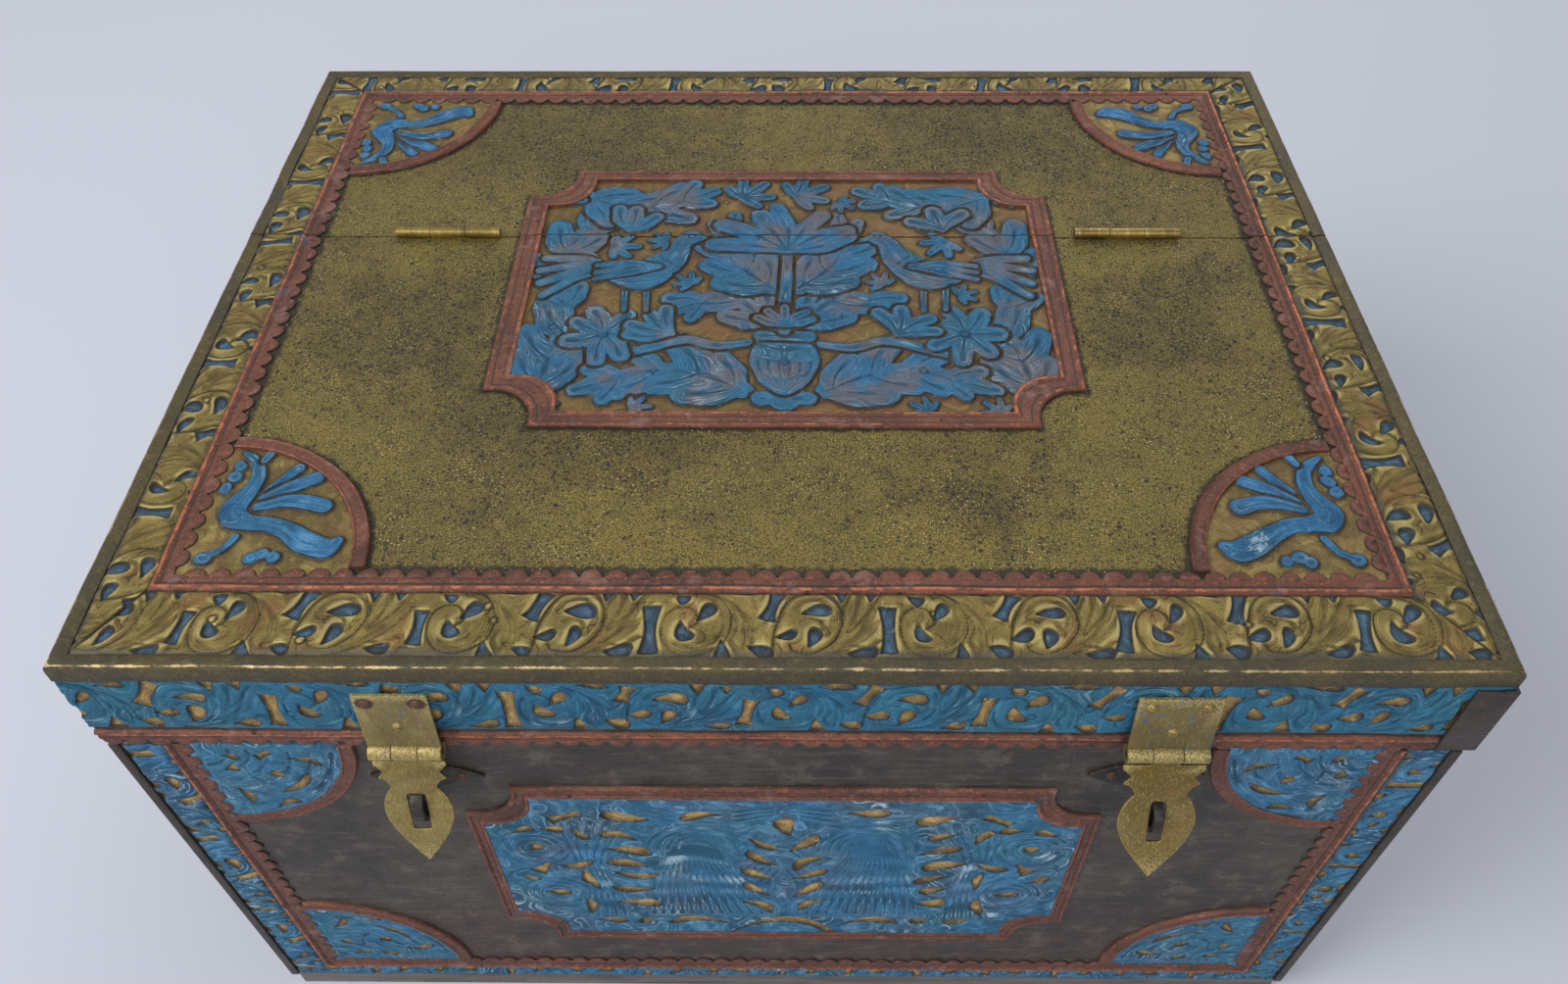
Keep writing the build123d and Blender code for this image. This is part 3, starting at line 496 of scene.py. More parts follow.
def trim_distance(f):
    """How far a place on the top is from the copper strips, fans and cartouche round its plain sheet."""
    x, y, _ = f.split(f.place)
    sides = (x - LEFT).smaller(RIGHT - x).smaller((y - FRONT).smaller(BACK - y))
    half_w, half_h = TOP_OUTER[0] / 2, TOP_OUTER[1] / 2
    frame_gap = (x.size() - half_w).larger((y - TOP_MIDDLE).size() - half_h)
    scoop_x, scoop_y = (half_w - SHOULDER) - x.size(), (half_h - SHOULDER) - (y - TOP_MIDDLE).size()
    scoop = (NOTCH - SHOULDER) - (scoop_x * scoop_x + scoop_y * scoop_y).power(0.5)
    gap = sides.smaller(frame_gap.larger(scoop))
    for cx, cy, _, radius in TOP_FANS["lid"] + TOP_FANS["chest"]:
        away = ((x - cx) * (x - cx) + (y - cy) * (y - cy)).power(0.5) - radius
        gap = gap.smaller(away)
    return gap


def field_finish():
    """Matted brass sheet of the top, olive with fine dark patina specks, painted gold glints, and a darker
    band along the trim that is partly patina and partly painted shadow.
    """
    f = Finish("matted_olive_brass")
    x, y, _ = f.split(f.place)
    cloud = f.noise(0.012, 4.0, 0.6)
    drift = (f.noise(0.028, 4.0, 0.65) - 0.5) * 150.0
    sway = (f.noise(0.022, 3.0, 0.6) - 0.5) * 120.0
    fine = f.noise(1.0, 4.0, 0.7)
    finer = f.noise(2.2, 2.0, 0.6)
    patch = cloud * 0.0
    for cx, cy, reach in PATINA_SPOTS:
        u, v = x - cx + drift, (y - cy + sway) * 1.3
        patch = patch.larger(((u * u + v * v).power(0.5) / reach).step(1.2, 0.2))
    thick = patch * 0.42 + f.noise(0.1, 4.0, 0.7) * 1.6 - 0.3
    warped = f.warped(1.6)
    speck = f.spots(0.8, warped, thick, 0.3).larger(f.spots(0.42, warped, thick - 0.1, 0.3))
    speck = speck.larger((f.noise(0.9, 5.0, 0.78) + (thick - 0.6) * 0.12).step(0.61, 0.65))
    gap = trim_distance(f)
    # Darker along the copper strips, fans and cartouche: partly patina, partly painted shadow of the raised
    # trim
    patina_and_shadow_by_trim = (gap * -0.2 + 0.85 + (f.noise(0.3, 4.0, 0.65) - 0.5) * 1.5).step(0.3, 0.75)
    # Painted glints: small bright points where the matted brass would catch the light
    points = f.cells(0.62).step(0.26, 0.1) * f.noise(0.05, 3.0).step(0.46, 0.62) * (1.0 - speck)
    colour = f.layered(
        FIELD_OLIVE,
        (cloud.step(0.35, 0.65), FIELD_BROWN),
        (fine.step(0.44, 0.6) * 0.85, FIELD_DARK),
        (finer.step(0.5, 0.62) * 0.65, FIELD_PALE),
        (thick.step(0.45, 0.95) * 0.36, FIELD_SHADE),
        (speck * 0.9, FIELD_SPECK),
        (patina_and_shadow_by_trim * 0.85, PATINA_AND_SHADE),
        (points * 0.8, GOLD_WEAR_AND_GLINT))
    roughness = (0.52 + (fine - 0.5) * 0.4 + speck * 0.3 - points * 0.25).clamped()
    relief = f.cells(0.8, "SMOOTH_F1") * 0.5 + fine * 0.9 + finer * 0.4 - speck * 0.5
    return f.done(colour, roughness, (0.5 - speck * 0.4).clamped(), f.bump(relief, 1.0, 0.6))


def wall_finish():
    """Dark brown-grey patinated sheet of the walls, redder towards the base, blotched and scratched."""
    f = Finish("patinated_wall_sheet")
    _, _, z = f.split(f.place)
    cloud = f.noise(0.016, 4.0, 0.6)
    blotch = f.noise(0.07, 5.0, 0.7)
    rubbed = f.noise(0.12, 4.0, 0.65, f.stretched((0.25, 0.25, 3.0)))
    fine = f.noise(0.9, 4.0, 0.65)
    scratch = f.noise(0.5, 2.0, 0.5, f.stretched((0.15, 0.15, 2.4)), 1.5).step(0.64, 0.7)
    slanted = f.noise(0.45, 2.0, 0.5, f.stretched((1.6, 1.6, 0.4)), 2.5).step(0.68, 0.74)
    colour = f.layered(
        WALL_DARK,
        (cloud.step(0.35, 0.65), WALL_BROWN),
        ((z.step(150, 40) * 0.35 + f.noise(0.02, 4.0, 0.7) - 0.1).step(0.45, 0.75) * 0.8, WALL_RED),
        (blotch.step(0.52, 0.64) * 0.45, WALL_PALE),
        (blotch.step(0.47, 0.38) * 0.55, GRIME_AND_SHADE),
        (rubbed.step(0.5, 0.7) * 0.35, WALL_RUBBED),
        (rubbed.step(0.46, 0.34) * 0.4, GRIME_AND_SHADE),
        (fine.step(0.5, 0.72) * 0.45, GRIME_AND_SHADE),
        (f.noise(0.4, 5.0, 0.75).step(0.58, 0.68) * 0.75, WALL_BLACK),
        (scratch.larger(slanted) * 0.4, STEEL))
    roughness = (0.52 + (fine - 0.5) * 0.35 + (rubbed - 0.5) * 0.25).clamped()
    return f.done(colour, roughness, 0.25, f.bump(fine + rubbed + blotch, 0.5, 0.3))


def hasp_finish():
    """Satin brass of the hasps, paler on the left one, with soft stains and smears of the blue paint."""
    f = Finish("satin_hasp_brass")
    x, _, z = f.split(f.place)
    crest = f.attribute("crest")
    cloud = f.noise(0.05, 4.0, 0.6)
    brushed = f.noise(0.55, 3.0, 0.6, f.stretched((2.6, 2.6, 0.3)))
    fine = f.noise(1.5, 3.0, 0.65)
    upper = z.step(high("hasp_leaf_left", Z) - 5, high("hasp_leaf_left", Z) + 2)
    colour = f.layered(
        HASP_PALE,
        (x.step(-20, 20), HASP_DEEP),
        (cloud.step(0.42, 0.6) * 0.7, HASP_CLOUD),
        (brushed.step(0.5, 0.72) * 0.3, HASP_BRIGHT),
        (brushed.step(0.45, 0.3) * 0.35, HASP_BRUSHED),
        (fine.step(0.5, 0.68) * 0.35, HASP_FLECK),
        (f.noise(0.12, 4.0, 0.7).step(0.53, 0.66) * 0.6, HASP_STAIN),
        (upper * 0.3, HASP_GREY),
        (upper * f.noise(0.16, 4.0, 0.7).step(0.58, 0.66) * 0.7, SLATE_BLUE),
        # Darker in inward bends: partly soiling, partly painted shade; paler on outward edges where rubbed
        ((crest * -1.0).step(0.1, 0.6) * 0.7, GRIME_AND_SHADE),
        (crest.step(0.3, 0.9) * fine.step(0.4, 0.6) * 0.5, GOLD_WEAR_AND_GLINT))
    for side in (-1, 1):
        across, down = x - LEFT_HASP_X - side * 0.34 * LEFT_HASP_WIDTH, (z - HASP_SCREW_Z) * 1.25
        pit = ((across * across + down * down).power(0.5) + (fine - 0.5) * 1.6).step(4.0, 3.2)
        colour = f.mix(pit * 0.9, colour, HASP_PIT)
    colour = f.mix(f.noise(0.6, 4.0, 0.7).step(0.62, 0.72) * 0.6, colour, GRIME_AND_SHADE)
    roughness = (0.5 + (fine - 0.5) * 0.25 + (cloud - 0.5) * 0.3).clamped()
    return f.done(colour, roughness, 0.45, f.bump(brushed * 0.6 + fine + cloud, 0.3, 0.2))


def nail_finish():
    """Heads of the nails, brown and rusty in the pitted holes of the left hasp and on the staple plates."""
    f = Finish("worn_nail_heads")
    x, _, z = f.split(f.place)
    fine = f.noise(0.9, 4.0, 0.7)
    rusty = x.step(-40, -60) * z.step(HASP_SCREW_Z - 7, HASP_SCREW_Z - 4)
    rusty = rusty.larger(z.step(WALL_TOP, WALL_TOP - 3))
    colour = f.layered(
        NAIL_BRASS,
        (rusty, NAIL_RUST),
        (fine.step(0.46, 0.62) * 0.7, NAIL_DARK),
        (f.noise(1.4, 3.0).step(0.58, 0.7) * (1.0 - rusty) * 0.6, GOLD_WEAR_AND_GLINT))
    roughness = (0.48 + (fine - 0.5) * 0.4).clamped()
    return f.done(colour, roughness, (0.7 - rusty * 0.5).clamped(), f.bump(fine, 0.8, 0.4))


def plain_metal(name, main, dark, bright, metallic=0.85, rough=0.42, rust=0.0, scratch=(0.3, 0.3, 2.5)):
    """Worn sheet metal with cloudy tarnish, scratches, specks and some rust."""
    f = Finish(name)
    cloud = f.noise(0.05, 4.0)
    scuff = f.noise(0.35, 4.0, 0.7, f.stretched(scratch))
    fine = f.noise(1.3, 3.0)
    rusty = f.noise(0.13, 5.0, 0.7).step(0.62 - rust * 0.25, 0.7 - rust * 0.2) * min(1.0, rust * 2)
    colour = f.layered(
        main,
        (cloud.step(0.32, 0.7), dark),
        (scuff.step(0.5, 0.8) * 0.55, bright),
        (f.noise(0.5, 4.0, 0.7).step(0.6, 0.72) * 0.6, GRIME_AND_SHADE),
        (rusty, RUST))
    roughness = (rough + (fine - 0.5) * 0.3 + rusty * 0.3).clamped()
    return f.done(colour, roughness, metallic - rusty * metallic, f.bump(scuff + fine * 0.6, 0.35, 0.15))


def wood_finish(name, main, dark, stretch):
    """Plain worn wood with its grain along one axis."""
    f = Finish(name)
    grain = f.noise(0.16, 4.0, 0.6, f.stretched(stretch), 0.6)
    pores = f.noise(0.9, 3.0, 0.7, f.stretched(stretch))
    colour = f.layered(
        main,
        (grain.step(0.35, 0.7), dark),
        (pores.step(0.58, 0.7) * 0.6, GRIME_AND_SHADE))
    return f.done(colour, (0.62 + (pores - 0.5) * 0.3).clamped(), 0.0, f.bump(grain + pores, 0.5, 0.4))


# Faces of the trunk
class Face:
    """One side of the trunk: x to the right and y up as seen from outside, and heights outwards."""

    def __init__(self, origin, right, out):
        self.origin = np.array(origin, float)
        self.right = np.array(right, float)
        self.out = np.array(out, float)
        self.up = np.cross(self.out, self.right)

    def points(self, x, y, height):
        spread = [np.asarray(value, float)[..., None] for value in (x, y, height)]
        return self.origin + spread[0] * self.right + spread[1] * self.up + spread[2] * self.out


TOP = Face((0, 0, FIELD_Z), (1, 0, 0), (0, 0, 1))
SKIRT = {
    "front": Face((0, -LID_FRONT - SHEET, 0), (1, 0, 0), (0, -1, 0)),
    "left": Face((-SKIRT_SIDE - SHEET, 0, 0), (0, -1, 0), (-1, 0, 0)),
    "right": Face((SKIRT_SIDE + SHEET, 0, 0), (0, 1, 0), (1, 0, 0)),
}
WALL = {
    "front": Face((0, -WALL_FRONT, 0), (1, 0, 0), (0, -1, 0)),
    "left": Face((-WALL_SIDE, 0, 0), (0, -1, 0), (-1, 0, 0)),
    "right": Face((WALL_SIDE, 0, 0), (0, 1, 0), (1, 0, 0)),
    "back": Face((0, WALL_FRONT, 0), (-1, 0, 0), (0, 1, 0)),
}


# Meshes
def add_object(name, data):
    made = bpy.data.objects.new(name, data)
    bpy.context.scene.collection.objects.link(made)
    return made


def make_object(points, faces, finish, fields=None, smooth_angle=50.0):
    """An object from points in millimetres, quads as an array and other faces as lists of indices."""
    quads, others = faces
    loops = [np.asarray(quads, np.int32).ravel()] + [np.asarray(face, np.int32) for face in others]
    sizes = np.concatenate([np.full(len(quads), 4), [len(face) for face in others]]).astype(np.int32)
    starts = np.concatenate([[0], np.cumsum(sizes)[:-1]]).astype(np.int32)
    mesh = bpy.data.meshes.new("metal")
    mesh.vertices.add(len(points))
    mesh.vertices.foreach_set("co", (np.asarray(points) * METRE).astype(np.float32).ravel())
    order = np.concatenate(loops)
    mesh.loops.add(len(order))
    mesh.loops.foreach_set("vertex_index", order)
    mesh.polygons.add(len(sizes))
    mesh.polygons.foreach_set("loop_start", starts)
    mesh.update(calc_edges=True)
    mesh.validate()
    for key, values in (fields or {}).items():
        layer = mesh.attributes.new(key, "FLOAT", "POINT")
        layer.data.foreach_set("value", np.asarray(values, np.float32).ravel())
    mesh.materials.append(finish)
    mesh.polygons.foreach_set("use_smooth", np.ones(len(mesh.polygons), bool))
    mesh.set_sharp_from_angle(angle=math.radians(smooth_angle))
    return add_object("metal", mesh)


def joined(name, parts):
    """Several objects as one."""
    if len(parts) > 1:
        with bpy.context.temp_override(active_object=parts[0], selected_editable_objects=parts):
            bpy.ops.object.join()
    parts[0].name = name
    parts[0].data.name = name
    return parts[0]


def ready(name, parts, body, node):
    """Joins the parts into one piece that rides on its body and stands for its node, which it hides."""
    piece = joined(name, parts)
    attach(piece, body)
    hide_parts(node)


# Relief grids
def smooth(value, start, end):
    t = np.clip((value - start) / (end - start), 0, 1)
    return t * t * (3 - 2 * t)


def blurred(field, cells):
    """A field averaged over a square of cells, twice."""
    width = 2 * cells + 1
    for axis in (0, 1, 0, 1):
        padded = np.concatenate([np.repeat(field.take([0], axis), cells + 1, axis), field,
                                 np.repeat(field.take([-1], axis), cells, axis)], axis)
        total = np.cumsum(padded, axis)
        size = field.shape[axis]
        ahead = total.take(range(width, width + size), axis)
        behind = total.take(range(size), axis)
        field = (ahead - behind) / width
    return field


def along_path(points, spacing, values=None):
    """A smooth path through a few points, evenly sampled, with a value carried along it."""
    points = np.asarray(points, float)
    values = np.ones(len(points)) if values is None else np.asarray(values, float)
    if len(points) > 2:
        ends = np.vstack([2 * points[0] - points[1], points, 2 * points[-1] - points[-2]])
        grip = np.concatenate([[values[0]], values, [values[-1]]])
        fine, carried = [], []
        for i in range(1, len(ends) - 2):
            t = np.linspace(0, 1, 9)[:-1, None]
            a, b, c, d = ends[i - 1:i + 3]
            fine.append(0.5 * (2 * b + (c - a) * t + (2 * a - 5 * b + 4 * c - d) * t**2
                               + (3 * b - a - 3 * c + d) * t**3))
            carried.append(grip[i] + (grip[i + 1] - grip[i]) * t[:, 0])
        points = np.vstack(fine + [points[-1:]])
        values = np.concatenate(carried + [values[-1:]])
    step = np.hypot(*np.diff(points, axis=0).T)
    run = np.concatenate([[0], np.cumsum(step)])
    places = np.linspace(0, run[-1], max(3, int(run[-1] / spacing) + 1))
    path = np.stack([np.interp(places, run, points[:, i]) for i in (0, 1)], 1)
    ahead = np.gradient(path, axis=0)
    ahead /= np.maximum(np.hypot(*ahead.T), 1e-9)[:, None]
    return path, ahead, places, np.interp(places, run, values)


# Furthest distance that a relief keeps, width of an engraved line, and reach of a comb's lines
FAR = 6.0
LINE = 0.52
COMB_REACH = 3.0


class Relief:
    """Raised work on a face, on an even grid: the heights of its forms and its engraved lines."""

    def __init__(self, x0, x1, y0, y1, step, pierced):
        self.x0, self.y0, self.step = x0, y0, step
        self.x, self.y = np.meshgrid(np.arange(x0, x1 + step, step), np.arange(y0, y1 + step, step))
        shape = self.x.shape
        self.body = np.full(shape, FAR if pierced else -FAR)
        self.level = np.ones(shape)
        self.across = np.full(shape, FAR)
        self.along = np.zeros(shape)
        self.line = np.zeros(shape)
        self.dust = np.zeros(shape)

    def window(self, path, reach):
        """The part of the grid near a path, as slices."""
        part = []
        for axis, start in ((1, self.y0), (0, self.x0)):
            first = max(0, int((path[:, axis].min() - reach - start) / self.step))
            last = min(self.x.shape[1 - axis], int((path[:, axis].max() + reach - start) / self.step) + 2)
            part.append(slice(first, max(first, last)))
        return tuple(part)

    def near(self, path, run, weight, part):
        """For each grid point: its distance to the nearest place on a path, and the run and weight there."""
        dx = self.x[part][..., None] - path[:, 0]
        dy = self.y[part][..., None] - path[:, 1]
        share = (dx * dx + dy * dy) / weight**2
        best = share.argmin(-1)
        away = np.sqrt(np.take_along_axis(share, best[..., None], -1)[..., 0]) * weight[best]
        return away, run[best], weight[best]

    def form(self, bands, moat=0.9, level=1.0, rib=0.8):
        """One raised form, made of tapered bands that run into each other, with a channel cut round it."""
        whole = np.full(self.x.shape, -FAR)
        ribs = np.zeros(self.x.shape)
        for points, radii in bands:
            path, _, run, radius = along_path(points, 1.5 * self.step, radii)
            part = self.window(path, radius.max() + FAR)
            away, along, radius = self.near(path, run, radius, part)
            depth = np.maximum(radius - away, -FAR)
            mine = (depth > whole[part]) & (depth > 0)
            self.across[part] = np.where(mine, away, self.across[part])
            self.along[part] = np.where(mine, along, self.along[part])
            whole[part] = np.maximum(whole[part], depth)
            ribs[part] = np.maximum(ribs[part], rib * np.exp(-(away / LINE)**2) * (depth > 1.0))
        self.line = np.where(whole > -moat, ribs, self.line)
        self.level = np.where(whole > -moat, level, self.level)
        self.body = np.maximum(whole, np.minimum(self.body, -whole - moat))

    def groove(self, points, reach=5.0, strength=0.85):
        """An engraved line, which also turns the brush marks near it."""
        path, _, run, _ = along_path(points, 1.5 * self.step)
        part = self.window(path, reach)
        away, along, _ = self.near(path, run, np.ones(len(path)), part)
        here = (away < self.across[part]) & (away < reach)
        self.across[part] = np.where(here, away, self.across[part])
        self.along[part] = np.where(here, along, self.along[part])
        self.line[part] = np.maximum(self.line[part], strength * np.exp(-(away / LINE)**2))

    def pierce(self, kind, x, y, half_x, half_y, tilt, bend=0.0):
        """A small opening through the raised sheet."""
        part = self.window(np.array([[x, y]]), max(half_x, half_y) + FAR)
        turn = math.radians(tilt)
        dx, dy = self.x[part] - x, self.y[part] - y
        u = dx * math.cos(turn) + dy * math.sin(turn)
        v = dy * math.cos(turn) - dx * math.sin(turn) - bend * u * u
        if kind == "hourglass":
            waist = 0.62 + 0.45 * np.minimum(v / half_y, 1.5)**2
            gap = np.maximum(np.abs(u) - half_x * waist, np.abs(v) - half_y)
        elif kind == "wedge":
            gap = np.maximum(np.abs(u) - half_x * 0.5 * (1 - v / half_y), np.abs(v) - half_y)
        else:
            taper = 1 + 0.5 * np.clip(u / half_x, -1, 1)
            gap = (np.hypot(u / half_x, v / (half_y * taper)) - 1) * min(half_x, half_y)
        self.body[part] = np.minimum(self.body[part], gap)

    def rivet(self, x, y, radius=1.2):
        """A small round nail head with a ring pressed round it."""
        part = self.window(np.array([[x, y]]), radius + 2)
        away = np.hypot(self.x[part] - x, self.y[part] - y)
        self.level[part] = np.where(away < radius, 1.07 - 0.06 * (away / radius)**2, self.level[part])
        ring = np.exp(-((away - radius - 0.4) / LINE)**2)
        self.line[part] = np.where(away < radius, 0, np.maximum(self.line[part], ring))

    def settle(self, ground):
        """The height of every place, and its crests and hollows."""
        rounding = 0.9 + 0.1 * smooth(self.body, 0, 2.6)
        raised = self.level * rounding * (1 - 0.3 * self.line) * (1 - 0.2 * np.exp(-(self.across / 1.9)**2))
        self.height = ground + (raised - ground) * smooth(self.body, -0.25, 0.5)
        near = max(1, round(0.9 / self.step))
        over_near, over_wide = (self.height - blurred(self.height, cells) for cells in (near, 3 * near))
        self.crest = over_near + 0.6 * over_wide

    def read(self, x, y):
        """Every field at the given places, between the grid's points."""
        u = np.clip((x - self.x0) / self.step, 0, self.x.shape[1] - 1.001)
        v = np.clip((y - self.y0) / self.step, 0, self.x.shape[0] - 1.001)
        i, j = u.astype(int), v.astype(int)
        s, t = u - i, v - j
        fields = {"rise": self.height, "across": self.across, "along": self.along, "line": self.line,
                  "crest": self.crest, "edge": np.clip(self.body, -FAR, FAR), "dust": self.dust}
        return {key: (field[j, i] * (1 - s) + field[j, i + 1] * s) * (1 - t)
                + (field[j + 1, i] * (1 - s) + field[j + 1, i + 1] * s) * t for key, field in fields.items()}


def strip_grid(corners, step):
    """An even grid over a four-cornered outline, given anticlockwise from the lower left."""
    a, b, c, d = [np.array(corner, float) for corner in corners]
    wide = abs((b - a)[0] * (d - a)[1] - (b - a)[1] * (d - a)[0]) / np.hypot(*(b - a))
    across = max(2, round(wide / step) + 1)
    length = max(2, round(max(np.hypot(*(b - a)), np.hypot(*(c - d))) / step) + 1)
    s, t = np.meshgrid(np.linspace(0, 1, length), np.linspace(0, 1, across))
    s, t = s[..., None], t[..., None]
    grid = (a * (1 - s) + b * s) * (1 - t) + (d * (1 - s) + c * s) * t
    return grid[..., 0], grid[..., 1], None


def cut_grid(x0, x1, y0, y1, step, inside):
    """An even grid over a rectangle, of which only the cells inside an outline are kept."""
    nx = max(2, round((x1 - x0) / step) + 1)
    ny = max(2, round((y1 - y0) / step) + 1)
    x, y = np.meshgrid(np.linspace(x0, x1, nx), np.linspace(y0, y1, ny))
    middle_x = (x[1:, 1:] + x[:-1, :-1]) / 2
    middle_y = (y[1:, 1:] + y[:-1, :-1]) / 2
    return x, y, inside(middle_x, middle_y)


def wobble(x, y, seed):
    """A sideways drift, slow with a little quick in it, as hand-made work has."""
    draw = random.Random(seed)
    drift = np.zeros_like(x)
    for waves, pace, share in ((4, 0.09, 1.0), (3, 0.55, 0.4)):
        for _ in range(waves):
            a, b = draw.uniform(-pace, pace), draw.uniform(-pace, pace)
            drift = drift + share * np.sin(a * x + b * y + draw.uniform(0, 6.28))
    return drift * 0.225


def outer_loop(quads):
    """The outer edge of a patch of quads, as one anticlockwise loop of points."""
    edges = np.concatenate([quads[:, [i, (i + 1) % 4]] for i in range(4)])
    size = int(edges.max()) + 1
    ahead = edges[:, 0].astype(np.int64) * size + edges[:, 1]
    back = edges[:, 1].astype(np.int64) * size + edges[:, 0]
    outer = edges[~np.isin(ahead, back)]
    follow = dict(outer.tolist())
    start = int(outer[0, 0])
    loop = [start]
    while follow[loop[-1]] != start:
        loop.append(follow[loop[-1]])
    return np.array(loop)


def relief_plate(face, relief, grid, finish, full=RELIEF, back=0.0, seed=1):
    """A closed plate on a face whose outer side carries a relief."""
    x, y, keep = grid
    found = relief.read(x + wobble(x, y, seed), y + wobble(y, x, seed + 7))
    height = full * np.clip(found["rise"], 0.05, 1.06) / 1.06
    rows, columns = x.shape
    index = np.arange(rows * columns).reshape(rows, columns)
    quads = np.stack([index[:-1, :-1], index[:-1, 1:], index[1:, 1:], index[1:, :-1]], -1).reshape(-1, 4)
    if keep is not None:
        quads = quads[keep.ravel()]
    used = np.unique(quads)
    renumber = np.full(rows * columns, -1)
    renumber[used] = np.arange(len(used))
    quads = renumber[quads]
    flat = np.stack([x.ravel()[used], y.ravel()[used]], 1)
    top = face.points(flat[:, 0], flat[:, 1], height.ravel()[used])
    loop = outer_loop(quads)
    spots = flat[loop]
    before = spots - np.roll(spots, 1, 0)
    after = np.roll(spots, -1, 0) - spots
    turned = np.abs(before[:, 0] * after[:, 1] - before[:, 1] * after[:, 0])
    corner = np.flatnonzero(turned > 1e-3 * np.hypot(*before.T) * np.hypot(*after.T))
    bottom = face.points(spots[corner, 0], spots[corner, 1], np.full(len(corner), back))
    first = len(top)
    walls = []
    for n, start in enumerate(corner):
        end = corner[(n + 1) % len(corner)]
        span = (end - start) % len(loop) or len(loop)
        run = [loop[(start + k) % len(loop)] for k in range(span + 1)]
        walls.append([first + n, first + (n + 1) % len(corner)] + run[::-1])
    walls.append([first + n for n in range(len(corner))][::-1])
    fields = {}
    for key, values in found.items():
        kept = values.ravel()[used]
        fields[key] = np.concatenate([kept, kept[loop][corner]])
    return make_object(np.vstack([top, bottom]), (quads, walls), finish, fields, 62.0)


# The scroll pattern of the borders and friezes, drawn once for two scrolls of a band 32.2 mm high
CELL_PITCH = 88.6
CELL_OPENINGS = (
    # (kind, middle x, middle y, half width, half height, tilt, bend)
    ("hourglass", 0.0, -2.4, 2.9, 9.2, -3, 0.0), ("oval", 10.6, 11.4, 2.8, 1.9, -25, 0.05),
    ("oval", 19.4, 5.2, 4.3, 1.9, 54, 0.02), ("oval", 11.6, -3.6, 4.5, 2.2, -60, 0.07),
    ("wedge", 25.6, -11.6, 3.2, 3.4, 4, 0.0), ("oval", 39.6, -11.8, 3.9, 2.1, -18, 0.0),
    ("hourglass", 44.3, 8.4, 2.9, 6.4, -24, 0.0), ("oval", 60.4, 6.2, 5.4, 2.4, 2, -0.02),
    ("oval", 59.3, -6.2, 4.8, 2.4, 72, 0.03), ("oval", 48.4, -5.4, 4.0, 1.8, 14, 0.04),
    ("wedge", 70.6, 12.9, 2.6, 2.6, 180, 0.0), ("wedge", 81.2, 13.0, 2.4, 2.3, 180, 0.0),
    ("oval", 77.0, -12.4, 4.6, 1.7, 10, 0.02), ("oval", 33.0, 14.8, 4.6, 0.9, 0, 0.0),
)
CELL_LINES = (
    ((7.7, 14.3), (14, 15.4), (21.4, 13.8), (26.8, 8.4), (28.6, 0.8), (26.8, -6.8), (21.4, -12), (14, -13.6),
     (7.7, -11.6), (4.1, -5.2), (4.5, 2.9), (8.2, 7.4), (12.6, 7.8), (15.9, 5.1), (16.6, 0.8), (13.8, -1.6)),
    ((9.5, 13.0), (16, 13.2), (22.4, 10.4), (25.4, 5), (25.9, -1), (23.4, -7.7), (17, -11.2), (10.2, -9.6)),
    ((22.3, 14.2), (28.8, 9.6), (34, 3), (36.6, -3), (36.3, -11)),
    ((29.2, 4.4), (31, -1.6), (28.8, -7.4), (31.6, -13)),
    ((33.2, -1), (34, -6.4), (33.2, -11.6)),
    ((37, -3), (42, 1.5), (46, 9.2), (51.6, 13.4)),
    ((43.6, -12), (44.8, -2), (48.2, 7.3), (52.6, 12.8), (59, 15), (65.2, 13.2), (69.2, 7.8), (69.6, -0.3),
     (65.4, -8), (58.6, -12.4), (51.4, -11.6), (49.8, -8.6)),
    ((51.6, 6), (55.4, 10.2), (61.6, 11.0), (66.6, 6.6), (66.6, 0.2), (63.4, -4.4)),
    ((54.2, 1.2), (57.4, 2.8), (61.6, 1.4), (62.8, -2)),
    ((71.2, -3), (69.8, 4), (72.4, 12.4)), ((71.6, -3), (75.4, 5), (77.4, 13.6)),
    ((72, -3.6), (79, 3.4), (85.4, 13.2)),
    ((52, -15), (62, -13.8), (70, -10.6), (77, -6), (83.6, 1.4), (86.8, 9)),
    ((64, -10.6), (72, -7), (79.2, 0.6), (84.2, 9.6)),
    ((70, -8.2), (78, -9.8), (85, -6.6), (86.6, -12)),
)


def scrolls(relief, x0, x1, middle, scale, seed, small):
    """Running scrolls cut from one sheet: engraved lines that wind round small openings."""
    draw = random.Random(seed)
    pitch = CELL_PITCH * scale
    start = x0 - pitch * draw.uniform(0.1, 0.9)
    for n in range(int((x1 - start) / pitch) + 2):
        cx, cy = start + n * pitch, middle + draw.uniform(-0.3, 0.3)
        grow = scale * draw.uniform(0.98, 1.02)
        if cx > x1 + 2 or cx + pitch < x0 - 2:
            continue
        for line in CELL_LINES:
            shift, drop = draw.uniform(-0.3, 0.3), draw.uniform(-0.3, 0.3)
            path = [(cx + grow * (u + shift), cy + grow * (v + drop)) for u, v in line]
            depth = (0.95, 1.2) if len(line) > 11 else (0.6, 0.9)
            relief.groove(path, 4.5 * scale, draw.uniform(*depth))
        for kind, u, v, half_u, half_v, tilt, bend in CELL_OPENINGS:
            size = grow * small * draw.uniform(0.84, 1.1)
            x = cx + grow * (u + draw.uniform(-0.5, 0.5))
            y = cy + grow * (v + draw.uniform(-0.4, 0.4))
            relief.pierce(kind, x, y, half_u * size, half_v * size * draw.uniform(0.9, 1.25),
                          tilt + draw.uniform(-8, 8), bend / grow)
        for _ in range(draw.choice((1, 2))):
            place = cx + pitch * draw.uniform(0, 1)
            relief.rivet(place, cy + draw.uniform(-9, 9) * scale, draw.uniform(0.9, 1.3))


